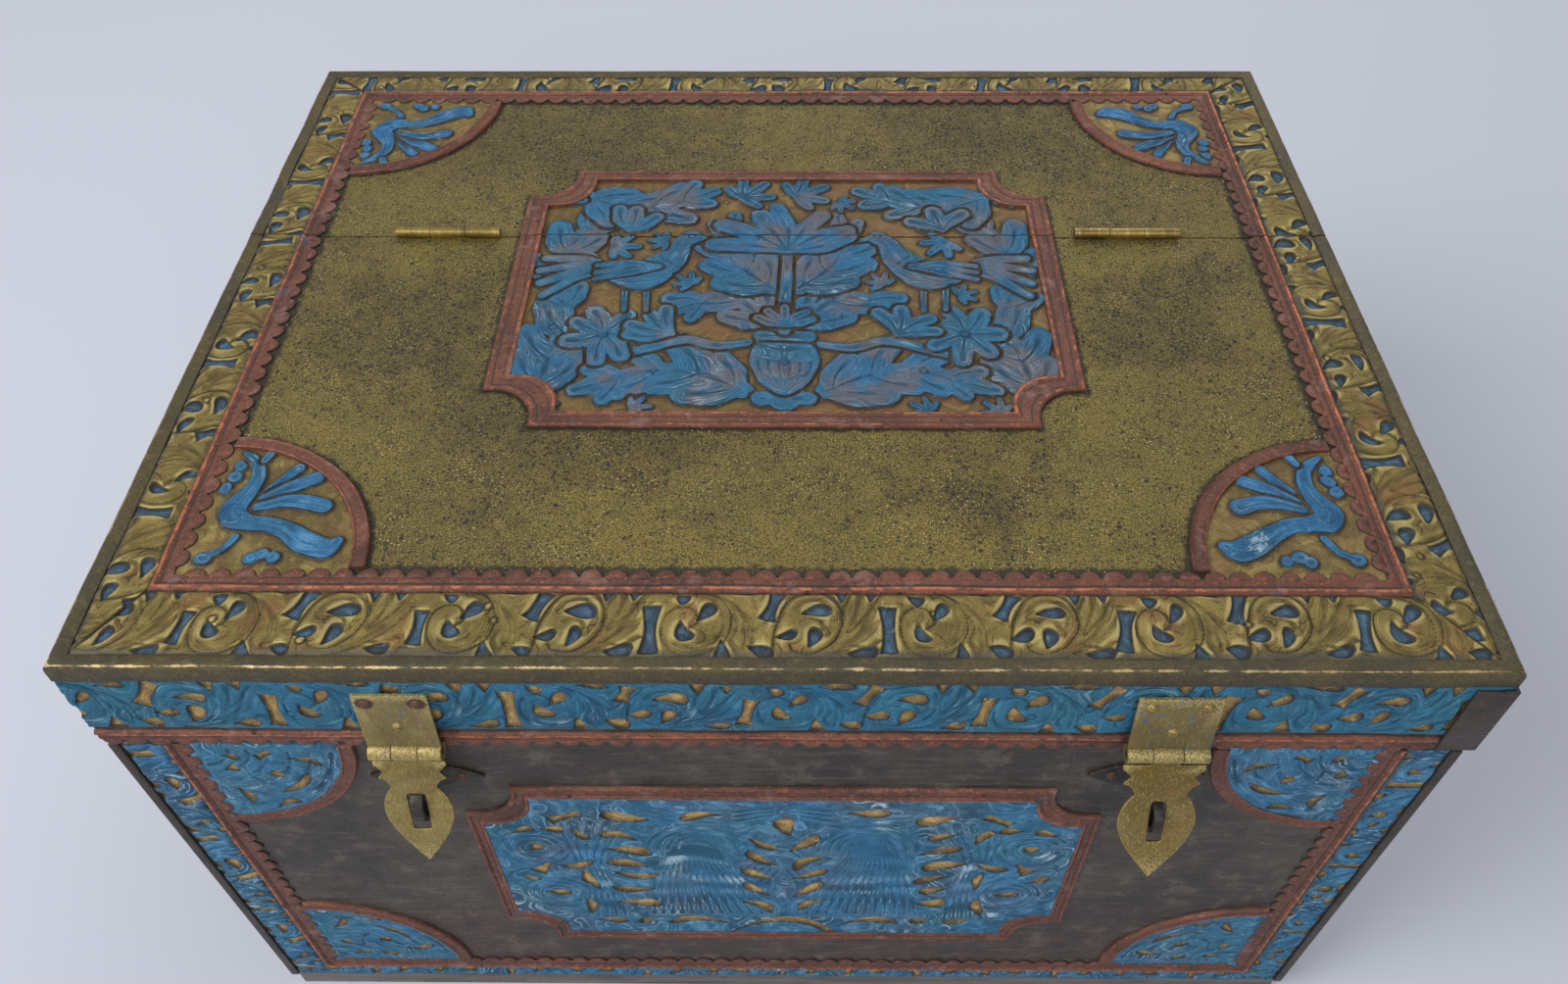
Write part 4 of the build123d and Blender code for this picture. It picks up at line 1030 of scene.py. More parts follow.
def scroll_relief(x0, x1, y0, y1, scale, seed, step, small, middle, mitres):
    """A band of scrolls, dusty along its two edges and cut where it meets the next band."""
    relief = Relief(x0 - 2, x1 + 2, y0 - 2, y1 + 2, step, True)
    scrolls(relief, x0, x1, (y0 + y1) / 2 if middle is None else middle, scale, seed, small)
    for mitre in mitres:
        relief.groove(mitre, 1.6, 1.5)
    relief.settle(0.12)
    relief.height *= 0.3 + 0.7 * smooth(np.minimum(relief.y - y0, y1 - relief.y), 0.2, 1.6)
    relief.dust = np.exp(-(relief.y - y0) / 2.8) + 0.6 * np.exp(-(y1 - relief.y) / 1.8)
    return relief


# Leaves, birds and petals, raised from a ground
def mirrored(side, points):
    """Points of a right half, or their mirror image where side is -1."""
    return [(side * u, v) for u, v in points]


def arc(x, y, radius, start, end, count=9):
    """Points along part of a circle."""
    return [(x + radius * math.cos(a), y + radius * math.sin(a))
            for a in np.linspace(math.radians(start), math.radians(end), count)]


def leaf(relief, points, width, lobes, seed):
    """An acanthus leaf: broad rounded lobes that run into each other on either side of a rib."""
    draw = random.Random(seed)
    path, ahead, run, _ = along_path(points, 1.0)
    bands = [(points, np.linspace(width * 0.24, width * 0.2, len(points)))]
    for n in range(lobes):
        share = 0.06 + 0.8 * n / max(1, lobes - 1)
        at = min(len(path) - 1, int(share * (len(path) - 1)))
        size = width * (0.78 + 0.34 * math.sin(math.pi * (share * 0.8 + 0.15)) - 0.34 * share)
        for side in (-1, 1):
            reach = size * draw.uniform(0.86, 1.12)
            lean = math.radians(draw.uniform(42, 56)) * side
            heading = np.array([ahead[at, 0] * math.cos(lean) - ahead[at, 1] * math.sin(lean),
                                ahead[at, 0] * math.sin(lean) + ahead[at, 1] * math.cos(lean)])
            tip = path[at] + heading * reach * 0.8 + ahead[at] * reach * 0.2
            thick = max(1.8, reach * draw.uniform(0.31, 0.37))
            bands.append(([path[at], path[at] + heading * reach * 0.45, tip],
                          [thick * 0.8, thick, thick * 0.8]))
    tip, heading = path[-1], ahead[-1]
    bands.append(([tip - heading * width * 0.2, tip, tip + heading * width * 0.45],
                  [width * 0.2, width * 0.27, width * 0.17]))
    relief.form(bands, 1.0, draw.uniform(0.94, 1.0))
    relief.groove(points, 2.0)


def petals(relief, x, y, start, end, count, length, seed, thick):
    """A fan of petals that open from one point."""
    draw = random.Random(seed)
    bands = []
    for n in range(count):
        angle = math.radians(start + (end - start) * n / max(1, count - 1))
        reach = length * draw.uniform(0.88, 1.06)
        bend = math.radians(draw.uniform(-10, 10))
        middle = (x + 0.55 * reach * math.cos(angle), y + 0.55 * reach * math.sin(angle))
        tip = (x + reach * math.cos(angle + bend), y + reach * math.sin(angle + bend))
        wide = length * thick * draw.uniform(0.9, 1.1)
        bands.append(([(x, y), middle, tip], [wide * 0.4, wide, wide * 0.9]))
    relief.form(bands, level=draw.uniform(0.94, 1.0))


def fill_gaps(relief, sizes, seed):
    """Small three-lobed buds in what ground is left free, the larger ones first."""
    draw = random.Random(seed)
    rows, columns = relief.x.shape
    for size in sizes:
        pace = int(size * 0.6 / relief.step)
        for j in range(pace, rows - pace, pace):
            for i in range(pace, columns - pace, pace):
                spare = int(size * 0.8 / relief.step)
                around = relief.body[max(0, j - spare):j + spare + 1:3, max(0, i - spare):i + spare + 1:3]
                if (around > -0.9).mean() > 0.18:
                    continue
                x, y = relief.x[j, i], relief.y[j, i]
                turn = draw.uniform(0, 6.28)
                bands = []
                base = np.array([x, y]) - size * 0.45 * np.array([math.cos(turn), math.sin(turn)])
                for lean, reach in ((0, 1.0), (0.75, 0.9), (-0.75, 0.9), (1.5, 0.66), (-1.5, 0.66)):
                    way = np.array([math.cos(turn + lean), math.sin(turn + lean)])
                    bands.append(([base, base + way * reach * size * 0.5, base + way * reach * size],
                                  [size * 0.14, size * 0.24, size * 0.19]))
                relief.form(bands, 0.9, draw.uniform(0.85, 0.97))


def bird(relief, x, y, side, size):
    """A generic bird seen from the side, with a folded wing and a long tail; side is where it looks."""
    def at(u, v):
        return (x + side * u * size, y + v * size)

    def feather(points, widths):
        return ([at(*point) for point in points], [size * width for width in widths])
    tail = []
    for lift in (-0.75, -0.35, 0.05, 0.45):
        points = ((-0.4, 0.0), (-1.2, 0.2 + lift * 0.4), (-2.1 + abs(lift) * 0.2, lift))
        tail.append(([at(*point) for point in points], [2.2, size * 0.14, size * 0.12]))
    relief.form(tail)
    legs = (((0.12, -0.4), (0.2, -1.2)), ((-0.3, -0.4), (-0.25, -1.2)))
    relief.form([([at(*point) for point in leg], [1.9, 1.7]) for leg in legs], 0.8)
    body = feather(((-0.75, 0.05), (0.0, -0.1), (0.55, 0.35), (0.78, 0.9), (0.98, 1.12)),
                   (0.26, 0.5, 0.36, 0.22, 0.24))
    beak = feather(((1.1, 1.12), (1.5, 0.98)), (0.12, 0.05))
    relief.form([body, beak], rib=0.0)
    wing = [feather(((0.35, 0.15), (-0.25, 0.26 - drop), (-0.95, 0.2 - drop * 1.6)), (0.1, 0.13, 0.08))
            for drop in (0.0, 0.14, 0.28)]
    relief.form(wing, 0.5, 1.04)
    for reach in (0.14, 0.28, 0.42):
        relief.groove([at(0.5 - reach, 0.62 - reach * 0.8), at(0.66 - reach * 0.4, 0.3 - reach * 0.5)], 1.0)
    relief.rivet(*at(0.98, 1.16), 1.1)


def comb(relief, first, last, count):
    """Engraved lines that pass from one curve over to another."""
    for share in np.linspace(0, 1, count):
        line = [(a[0] + (b[0] - a[0]) * share, a[1] + (b[1] - a[1]) * share) for a, b in zip(first, last)]
        relief.groove(line, COMB_REACH, 0.55)


# The corner fans, drawn for a radius of 61 mm to the band: petals, and the long S-shaped leaf with its widths
FAN_PETALS = ((((14, 32), (23, 42), (29.5, 50)), (1.6, 2.5, 2.8)),
              (((15, 31), (27, 39), (38, 44.5)), (1.6, 3.3, 3.6)),
              (((15, 29), (31, 33), (43, 30.5)), (2.0, 3.6, 4.1)))
FAN_LEAF = ((5, 58), (11, 53), (13.7, 46.4), (13.6, 40), (11, 34), (8.6, 28.2), (11.5, 23.6), (17, 22),
            (24.8, 21.6), (33, 17.9), (41.7, 11.8), (48.7, 9.4), (53, 12.6))
FAN_LEAF_WIDTHS = (1.4, 3.0, 3.3, 3.6, 4.8, 5.8, 5.6, 4.2, 3.7, 4.5, 5.6, 5.2, 2.4)
FAN_BUDS = (((4.6, 51), (4.4, 45), (2.6, 39.6)), ((22.6, 4), (26, 6.4), (31.4, 4.6)))


def under_scallops(relief):
    """Presses a corner relief down along its two straight sides, where the scallops lie over it."""
    inside = smooth(np.minimum(relief.x, relief.y), -0.6, 2.2)
    relief.height = np.minimum(relief.height, 0.4 + 0.66 * inside)


def fan_relief(seed, radius, step):
    """Top corner: an S-shaped leaf from edge to edge, a fan of petals and small buds, blue on brass."""
    draw = random.Random(seed)
    relief = Relief(-6, radius, -6, radius, step, False)
    k = radius / 61.0 * draw.uniform(0.98, 1.02)

    def at(u, v, loose=0.5):
        return (u * k + draw.uniform(-loose, loose), v * k + draw.uniform(-loose, loose))
    for points, widths in FAN_PETALS:
        relief.form([([at(*spot) for spot in points], [k * width for width in widths])])
    relief.form([([at(14.4, 15), at(11.5, 9.2), at(5, 5)], [k * 1.9, k * 1.7, k * 2.2]),
                 ([at(4.4, 4.6), at(5.4, 4.6)], [k * 3.2, k * 3.2])])
    for spots in FAN_BUDS:
        buds = [([at(*spot), at(*spot)], [k * draw.uniform(2.6, 3.1)] * 2) for spot in spots]
        relief.form(buds, 0.8, 0.95, 0.0)
    relief.form([([at(*spot) for spot in FAN_LEAF], [k * width for width in FAN_LEAF_WIDTHS])], 1.0, 1.0, 0.0)
    for shift in (-3.4, -1.7, 0.0, 1.7, 3.4):
        relief.groove([at(20, 22 + shift * 0.7, 0.2), at(33, 18 + shift * 0.9, 0.2),
                       at(41.7, 12 + shift, 0.2), at(51, 10.6 + shift * 0.8, 0.2)], 1.6, 0.7)
    for ring in (1.4, 3.2, 4.8):
        relief.groove(arc(10 * k, 26.4 * k, ring * k, draw.uniform(0, 90), 340, 11), 1.4, 0.8)
    relief.form([([at(14.5, 54.5), at(16, 58)], [k * 2.0, k * 2.2])], 0.7)
    relief.settle(0.14)
    under_scallops(relief)
    return relief


# Openings of the wall fans, drawn for a radius of 60 mm, as those of the scrolls
WALL_FAN_OPENINGS = (
    ("oval", 34, 35, 9.5, 1.5, -35, -0.02), ("oval", 12, 42, 5.0, 1.6, 62, 0.04),
    ("wedge", 10, 20, 2.8, 3.0, 200, 0.0), ("oval", 13, 9, 3.2, 1.4, 10, 0.0),
    ("oval", 44, 14, 6.0, 1.5, 10, 0.03), ("hourglass", 27, 8, 1.8, 3.4, 60, 0.0),
    ("oval", 29, 24, 2.6, 2.4, 0, 0.0), ("oval", 25, 49, 5.0, 1.3, -20, 0.03),
)


def wall_fan_relief(seed, radius, step):
    """Wall corner: blue sheet with flowing lines and a few small brass openings."""
    draw = random.Random(seed)
    relief = Relief(-6, radius, -6, radius, step, True)
    k = radius / 60.0
    for start, reach in ((3, 13), (5, 20), (8, 27), (12, 34), (16, 41), (20, 48), (26, 55)):
        relief.groove([(start * 0.4 * k + u * k + draw.uniform(-0.6, 0.6),
                        3 + v * k + draw.uniform(-0.6, 0.6)) for u, v in arc(0, 0, reach, 6, 86, 7)])
    eye = zip(np.linspace(14, 3, 14), np.linspace(3.4, -4.0, 14))
    relief.groove([(30 * k + r * k * math.cos(a), 22 * k + r * k * math.sin(a)) for r, a in eye])
    for kind, u, v, half_u, half_v, tilt, bend in WALL_FAN_OPENINGS:
        relief.pierce(kind, u * k + draw.uniform(-1.5, 1.5), v * k + draw.uniform(-1.5, 1.5),
                      half_u * k, half_v * k, tilt + draw.uniform(-12, 12), bend)
    relief.rivet(29 * k, 24 * k, 1.2)
    relief.settle(0.16)
    under_scallops(relief)
    return relief


# The top cartouche's right half, from its middle: leaves as (points, width, lobes, seed), and single nails
TOP_LEAVES = (
    (((106, -72), (103, -50), (98, -28), (104, -6)), 23, 4, 31),
    (((107, 4), (106, 20), (100, 36), (92, 48)), 22, 3, 41),
    (((98, 68), (80, 60), (60, 62), (44, 70)), 22, 4, 51),
    (((18, -70), (38, -60), (58, -58), (80, -66)), 23, 4, 61),
    (((8, -26), (20, -12), (32, -8), (44, -14)), 21, 3, 11),
    (((6, -2), (18, 10), (27, 26), (26, 44)), 21, 4, 21),
)
TOP_STEM = ((16, -40), (30, -42), (44, -38), (62, -44), (80, -50))
TOP_NAILS = ((-92, 20), (-58, -60), (-30, 66), (-12, 34), (24, -20), (40, 64), (60, -58), (97, -40), (70, 66),
             (-104, -30), (-66, 12), (66, 12), (0, -52), (0, 50))


def top_panel_relief(half_w, half_h, step):
    """Top cartouche: an urn with a branching plant, a bird on each side and broad sprays round them."""
    relief = Relief(-half_w, half_w, -half_h, half_h, step, False)
    for side in (-1, 1):
        outward, inward = (10, 60) if side > 0 else (190, 120)
        for points, width, lobes, seed in TOP_LEAVES:
            leaf(relief, mirrored(side, points), width, lobes, seed + side)
        relief.form([(mirrored(side, TOP_STEM), [2.6, 3.2, 3.0, 3.2, 3.6])])
        petals(relief, side * 80, -34, 0, 309, 7, 16, 91 + side, 0.33)
        relief.rivet(side * 80, -34, 1.6)
        petals(relief, side * 50, -34, 110, outward, 4, 18, 95 + side, 0.24)
        bird(relief, side * 67, 10, -side, 23.0)
        petals(relief, side * 76, 42, 90 + side * 60, inward, 3, 17, 97 + side, 0.28)
    relief.form([([(-10, -75), (10, -75)], [4.5, 4.5]), ([(0, -76), (0, -66)], [7, 5])], 0.8)
    relief.form([([(0, -66), (0, -58), (0, -50), (0, -42)], [7, 13, 16, 12])], 1.0, 1.0, 0.0)
    relief.form([([(-11, -35), (11, -35)], [3.6, 3.6])])
    for height, half in ((-62, 10), (-51, 15), (-43, 12)):
        relief.groove([(-half, height + 1.8), (0, height - 1.2), (half, height + 1.8)], 2.5)
    for turn in (-9, -5.4, -1.8, 1.8, 5.4, 9):
        relief.groove([(turn * 0.6, -64), (turn * 1.2, -57), (turn * 1.3, -52)], 2.0)
    relief.form([([(0, -31), (0, 0), (0, 30)], [3.6, 3.2, 2.8])])
    petals(relief, 0, 26, 168, 12, 7, 34, 5, 0.16)
    petals(relief, 0, -28, 165, 15, 5, 14, 7, 0.22)
    for spot in TOP_NAILS:
        relief.rivet(*spot, 1.3)
    fill_gaps(relief, (16.0, 12.0, 8.5), 8)
    relief.settle(0.14)
    return relief


# The front cartouche's right half, from its middle: combed sheaves as (first line, last line, lines), combed
# rings as (middle x, y and radius of the outer, y and radius of the inner, start, end, points), and openings
SHEAVES = (
    (((6, -46), (16, -14), (27, 12), (30, 34)), ((62, -46), (58, -14), (51, 12), (44, 36)), 13),
    (((76, -54), (78, -20), (80, 12), (66, 46)), ((94, -50), (88, -18), (92, 18), (96, 46)), 5),
    (((4, 54), (30, 47), (60, 50)), ((4, 60), (30, 56), (60, 58)), 3),
    (((2, 2), (8, -20), (3, -40)), ((12, 4), (16, -12), (6, -38)), 4),
)
RINGS = ((37, 20, 22, 22, 9, 180, 0, 9), (103, -24, 15, -24, 4, 0, 330, 15),
         (108, 22, 15, 22, 4, 30, 350, 15))
PANEL_OPENINGS = (
    ("oval", 40, -53, 11.0, 2.0, 3, 0.0), ("oval", 66, -54, 4.0, 1.8, 0, 0.0),
    ("oval", 36, 53, 7.0, 1.9, -8, 0.0), ("oval", 66, 50, 8.0, 2.6, 14, 0.0),
    ("hourglass", 92, 50, 2.2, 5.0, 60, 0.0), ("oval", 87, 34, 5.0, 1.4, 60, 0.0),
    ("oval", 92, 4, 6.5, 1.8, -16, 0.02), ("wedge", 106, 3, 3.4, 4.0, 30, 0.0),
    ("oval", 108, 22, 2.8, 2.0, 20, 0.0), ("oval", 98, 40, 4.0, 1.6, 10, 0.0),
    ("oval", 103, -24, 4.6, 1.6, 10, 0.03), ("oval", 90, -38, 2.2, 5.0, 10, 0.0),
    ("oval", 88, -10, 2.0, 5.4, -14, 0.0), ("oval", 116, -8, 4.0, 1.5, 30, 0.0),
    ("oval", 112, 38, 4.6, 1.5, -30, 0.0), ("oval", 84, -54, 6.0, 1.6, 6, 0.0),
)


def front_panel_relief(half_w, half_h, step):
    """Front cartouche: combed sheaves, plumes and swirls cut from one blue sheet, with tan openings."""
    draw = random.Random(77)
    relief = Relief(-half_w, half_w, -half_h, half_h, step, True)
    openings = [("oval", 0, 43, 6.5, 2.6, 90, 0.0), ("oval", 0, -53, 22.0, 2.2, 0, 0.006)]
    for side in (-1, 1):
        for first, last, count in SHEAVES:
            comb(relief, mirrored(side, first), mirrored(side, last), count)
        for x, outer_y, outer, inner_y, inner, start, end, count in RINGS:
            comb(relief, arc(side * x, outer_y, outer, start, end, count),
                 arc(side * x, inner_y, inner, start, end, count), 4)
        for n in range(6):
            openings.append(("oval", side * (69 + draw.uniform(-2, 2)), 34 - 13.5 * n, draw.uniform(5.5, 9.0),
                             draw.uniform(1.7, 2.7), side * draw.uniform(6, 20), 0.012))
        for n in range(5):
            openings.append(("oval", side * (10 + 0.6 * n), 27 - 15.5 * n, 7.6, 1.8, 90 - side * 47,
                             side * 0.02))
        for kind, u, v, half_u, half_v, tilt, bend in PANEL_OPENINGS:
            openings.append((kind, side * u, v, half_u, half_v, side * tilt, bend))
    for kind, u, v, half_u, half_v, tilt, bend in openings:
        size = draw.uniform(0.88, 1.1)
        relief.pierce(kind, u + draw.uniform(-1, 1), v + draw.uniform(-0.8, 0.8), half_u * size * 1.1,
                      half_v * size * 1.35, tilt + draw.uniform(-9, 9) + draw.choice((0, 180)),
                      bend + draw.uniform(-0.035, 0.035))
    relief.settle(0.16)
    return relief


# Reliefs as they lie on their faces
class Lookup:
    """A relief whose own x and y are worked out from a place on the face."""

    def __init__(self, relief, place):
        self.relief = relief
        self.place = place

    def read(self, x, y):
        return self.relief.read(*self.place(x, y))


def turned_over(relief):
    """The same relief with its x and y changed over."""
    return Lookup(relief, lambda x, y: (y, x))


def placed_at(relief, cx, cy, turn=0):
    """The same relief from a corner at (cx, cy), turned by none or some quarters, in degrees."""
    cosine, sine = round(math.cos(math.radians(turn))), round(math.sin(math.radians(turn)))

    def place(x, y):
        dx, dy = x - cx, y - cy
        return cosine * dx + sine * dy, cosine * dy - sine * dx
    return Lookup(relief, place)


def scroll_strip(face, corners, finish, scale, seed, step, small, middle=None, back=0.0, mitred=False):
    """A four-cornered band of scrolls, which run along its longer side."""
    wide, tall = (max(values) - min(values) for values in zip(*corners))
    upright = tall > wide
    turned = [corner[::-1] if upright else corner for corner in corners]
    along, across = zip(*turned)
    ends = [(turned[a], turned[b]) for a, b in ((0, 3), (1, 2))]
    mitres = [end for end in ends if mitred and abs(end[0][0] - end[1][0]) > 1]
    relief = scroll_relief(min(along), max(along), min(across), max(across), scale, seed, step, small, middle,
                           mitres)
    if upright:
        relief = turned_over(relief)
    return relief_plate(face, relief, strip_grid(corners, step), FINISH[finish], back=back, seed=seed)


def quarter_grid(cx, cy, turn, radius, step):
    """An even grid over a quarter disc whose corner is at (cx, cy)."""
    sx = 1 if turn in (0, 270) else -1
    sy = 1 if turn in (0, 90) else -1
    ends_x = sorted((cx - sx * UNDER_SCALLOPS, cx + sx * radius))
    ends_y = sorted((cy - sy * UNDER_SCALLOPS, cy + sy * radius))
    return cut_grid(*ends_x, *ends_y, step, lambda x, y: np.hypot(x - cx, y - cy) < radius)


def fan_plate(face, corner, step, seed, wall):
    """The relief in one corner: (x, y, turn, radius)."""
    cx, cy, turn, radius = corner
    relief = (wall_fan_relief if wall else fan_relief)(seed, radius - FAN_BAND, step)
    if turn in (90, 270):
        relief = turned_over(relief)
    grid = quarter_grid(cx, cy, turn, radius - FAN_BAND + UNDER_BAND, step)
    finish = FINISH["wall_frieze" if wall else "fan"]
    return relief_plate(face, placed_at(relief, cx, cy, turn), grid, finish, RELIEF - FAN_SUNK, seed=seed)


def cartouche_plate(face, size, middle, y0, y1, relief, step, seed, finish):
    """The part of a cartouche's relief between two heights of its face."""
    half_w, half_h = size[0] / 2, size[1] / 2

    def inside(x, y):
        u, v = half_w - np.abs(x), half_h - np.abs(y - middle)
        scoop = np.hypot(u - SHOULDER, v - SHOULDER) > NOTCH - SHOULDER - UNDER_FRAME
        side_step = (u > SHOULDER - UNDER_FRAME) | (v > NOTCH - UNDER_FRAME)
        top_step = (v > SHOULDER - UNDER_FRAME) | (u > NOTCH - UNDER_FRAME)
        return (u > -UNDER_FRAME) & (v > -UNDER_FRAME) & scoop & side_step & top_step
    grid = cut_grid(-half_w - UNDER_FRAME, half_w + UNDER_FRAME, y0, y1, step, inside)
    return relief_plate(face, placed_at(relief, 0, middle), grid, FINISH[finish], seed=seed)


# Copper strips: sections as (distance inwards, height, crest value: above zero where rubbed bright, below
# zero for soiling and painted shade), the frame's distance as a share of its width
BAND_PROFILE = (
    (0.0, 0.0, -0.6), (0.0, 1.35, 0.1), (0.7, 1.95, 0.9), (1.5, 1.5, -0.3), (2.2, 1.62, 0.0),
    (4.6, 1.7, 0.2), (5.0, 1.6, -0.4), (5.55, 2.08, 1.0), (6.15, 1.9, 0.4), (6.3, 0.0, -0.5))
FRAME_PROFILE = (
    (0.0, 0.0, -0.7), (0.0, 1.2, 0.0), (0.1, 1.9, 0.9), (0.22, 1.75, 0.5), (0.3, 1.1, -0.8),
    (0.42, 1.3, 0.1), (0.62, 1.36, 0.1), (0.72, 1.15, -0.8), (0.8, 1.8, 0.5), (0.9, 2.08, 1.0),
    (1.0, 1.86, 0.2), (1.0, 0.0, -0.6))


def skin(sections, turned=False):
    """Faces round a row of closed sections, given by the numbers of their points, with both ends capped."""
    following = np.roll(sections, -1, 1)
    quads = np.stack([sections[:-1], following[:-1], following[1:], sections[1:]], -1).reshape(-1, 4)
    caps = [sections[0][::-1].tolist(), sections[-1].tolist()]
    if turned:
        return quads[:, [0, 3, 2, 1]], [cap[::-1] for cap in caps]
    return quads, caps


def bead_profile(width):
    """Strip section as (distance inwards, height, crest value, below zero for soiling and painted shade): a
    half-round bead and a flat flange beside it.
    """
    rows = []
    for angle in (180, 155, 128, 104, 80, 54, 30):
        turn = math.radians(angle)
        rows.append((BEAD * (1 + math.cos(turn)), BEAD * 1.15 * math.sin(turn), math.sin(turn)**4 * 1.1))
    rows[0] = (0.0, 0.0, -0.2)
    flange_end = width - LOBE_DEPTH
    rows += [(BEAD * 2 + 0.2, 0.74, -1.0), (BEAD * 2 + 0.9, 1.0, -0.3), (BEAD * 2 + 1.6, 1.16, 0.1),
             (flange_end + 0.1, 1.14, 0.1), (flange_end + 0.35, 0.9, -0.4), (flange_end + 0.4, 0.0, -0.5)]
    return rows


def legs_of(corners):
    """For each leg of an outline: its start, its end, the way along it and the way to its right."""
    corners = [np.array(corner, float) for corner in corners]
    legs = []
    for before, after in zip(corners, corners[1:]):
        ahead = (after - before) / np.linalg.norm(after - before)
        legs.append((before, after, ahead, np.array([ahead[1], -ahead[0]])))
    return legs


def sweep(face, corners, profile, finish, seed):
    """A closed strip along right-angled legs, its section to the right of travel, a little uneven by hand."""
    draw = random.Random(seed)
    profile = np.array(profile)
    reach = profile[:, 0].max() + 2
    legs = legs_of(corners)
    last = len(legs) - 1
    spots, sides = [legs[0][0]], [legs[0][3]]
    for n, (before, after, ahead, right) in enumerate(legs):
        start = SWEEP_PACE if n == 0 else reach
        end = np.linalg.norm(after - before) - (SWEEP_PACE if n == last else reach)
        for place in np.linspace(start, end, max(2, int((end - start) / SWEEP_PACE))):
            spots.append(before + ahead * place)
            sides.append(right)
        spots.append(after)
        sides.append(right if n == last else right + legs[n + 1][3])
    spots, sides = np.array(spots), np.array(sides)
    count, width = len(spots), len(profile)
    run = np.concatenate([[0], np.cumsum(np.linalg.norm(np.diff(spots, axis=0), axis=1))])
    drift, lift = np.zeros(count), np.zeros(count)
    for _ in range(5):
        drift += np.sin(run * draw.uniform(0.02, 0.11) + draw.uniform(0, 6.28)) * SWEEP_SWAY * 0.5
        lift += np.sin(run * draw.uniform(0.05, 0.3) + draw.uniform(0, 6.28)) * 0.025
    loose = 0.4 + 0.6 * np.sin(np.clip(profile[:, 0] / reach, 0, 1) * 3.1)
    inward = np.maximum(profile[:, 0][None] + drift[:, None] * loose, 0)
    height = profile[:, 1][None] * (0.97 + np.clip(lift, -0.12, 0.03))[:, None]
    flat = spots[:, None] + sides[:, None] * inward[..., None]
    points = face.points(flat[..., 0], flat[..., 1], height).reshape(-1, 3)
    sections = np.arange(count * width).reshape(count, width)
    return make_object(points, skin(sections), finish, {"crest": np.tile(profile[:, 2], count)})


def lobe_pattern():
    """One scallop of the strips: a flat-domed half disc with a falling rim, its straight side along X."""
    # Rings as (share, height, crest value); below zero at the falling rim, which the copper finish darkens as
    # soiling and painted shade
    rings = ((1.0, 0.0, -1.0), (1.0, 0.7, -0.9), (0.9, 1.02, -0.1), (0.62, LOBE_RISE, 0.2))
    turns = np.linspace(math.pi, 0, 11)
    points, wear_and_shade = [], []
    for share, height, worn in rings:
        for turn in turns:
            points.append((LOBE_PITCH * 0.475 * share * math.cos(turn),
                           -LOBE_TUCK + (LOBE_DEPTH + LOBE_TUCK) * share * math.sin(turn), height))
            wear_and_shade.append(worn)
    points.append((0, -LOBE_TUCK, LOBE_RISE))
    wear_and_shade.append(0.3)
    middle, columns = len(points) - 1, len(turns)
    starts = [ring * columns for ring in range(len(rings))]
    faces = []
    for start in starts[:-1]:
        for a in range(start, start + columns - 1):
            faces.append((a, a + columns, a + columns + 1, a + 1))
    for a in range(starts[-1], middle - 1):
        faces.append((a, middle, a + 1))
    straight = starts + [middle] + [start + columns - 1 for start in starts][::-1]
    faces += [straight[::-1], tuple(range(columns))]
    mesh = bpy.data.meshes.new("scallop_pattern")
    mesh.from_pydata([tuple(value * METRE for value in point) for point in points], [], faces)
    mesh.attributes.new("crest", "FLOAT", "POINT").data.foreach_set("value", wear_and_shade)
    mesh.polygons.foreach_set("use_smooth", [True] * len(mesh.polygons))
    return bpy.data.objects.new("scallop_pattern", mesh)


def repeat_tree():
    """Geometry Nodes that set copies of a pattern along lines, each turned by the line's own directions."""
    tree = bpy.data.node_groups.new("repeat_along", "GeometryNodeTree")
    sockets = {"Line": "Geometry", "Pattern": "Object", "Pitch": "Float", "Size Change": "Float",
               "Seed": "Int", "Finish": "Material"}
    for title, kind in sockets.items():
        tree.interface.new_socket(title, in_out="INPUT", socket_type="NodeSocket" + kind)
    tree.interface.new_socket("Copies", in_out="OUTPUT", socket_type="NodeSocketGeometry")

    def add(kind, settings, inputs, output=0):
        node = tree.nodes.new(kind)
        for key, value in settings.items():
            setattr(node, key, value)
        for key, value in inputs.items():
            if isinstance(value, bpy.types.NodeSocket):
                tree.links.new(value, node.inputs[key])
            else:
                node.inputs[key].default_value = value
        return node.outputs[output]

    given = tree.nodes.new("NodeGroupInput").outputs
    line = add("GeometryNodeMeshToCurve", {}, {"Mesh": given["Line"]})
    even = add("GeometryNodeResampleCurve", {"mode": "LENGTH"}, {"Curve": line, "Length": given["Pitch"]})
    pattern = add("GeometryNodeObjectInfo", {}, {"Object": given["Pattern"]}, "Geometry")
    out = add("GeometryNodeInputNamedAttribute", {"data_type": "FLOAT_VECTOR"}, {"Name": "out"})
    inward = add("GeometryNodeInputNamedAttribute", {"data_type": "FLOAT_VECTOR"}, {"Name": "inward"})
    turn = add("FunctionNodeAxesToRotation", {"primary_axis": "Z", "secondary_axis": "Y"},
               {"Primary Axis": out, "Secondary Axis": inward})
    limits = {}
    for place, operation in ((0, "SUBTRACT"), (1, "ADD")):
        limit = add("ShaderNodeMath", {"operation": operation}, {0: 1.0, 1: given["Size Change"]})
        limits[place] = add("ShaderNodeCombineXYZ", {}, {0: limit, 1: limit, 2: limit})
    size = add("FunctionNodeRandomValue", {"data_type": "FLOAT_VECTOR"}, {**limits, "Seed": given["Seed"]})
    copies = add("GeometryNodeInstanceOnPoints", {},
                 {"Points": even, "Instance": pattern, "Rotation": turn, "Scale": size})
    real = add("GeometryNodeRealizeInstances", {}, {"Geometry": copies})
    finished = add("GeometryNodeSetMaterial", {}, {"Geometry": real, "Material": given["Finish"]})
    tree.links.new(finished, tree.nodes.new("NodeGroupOutput").inputs[0])
    return tree


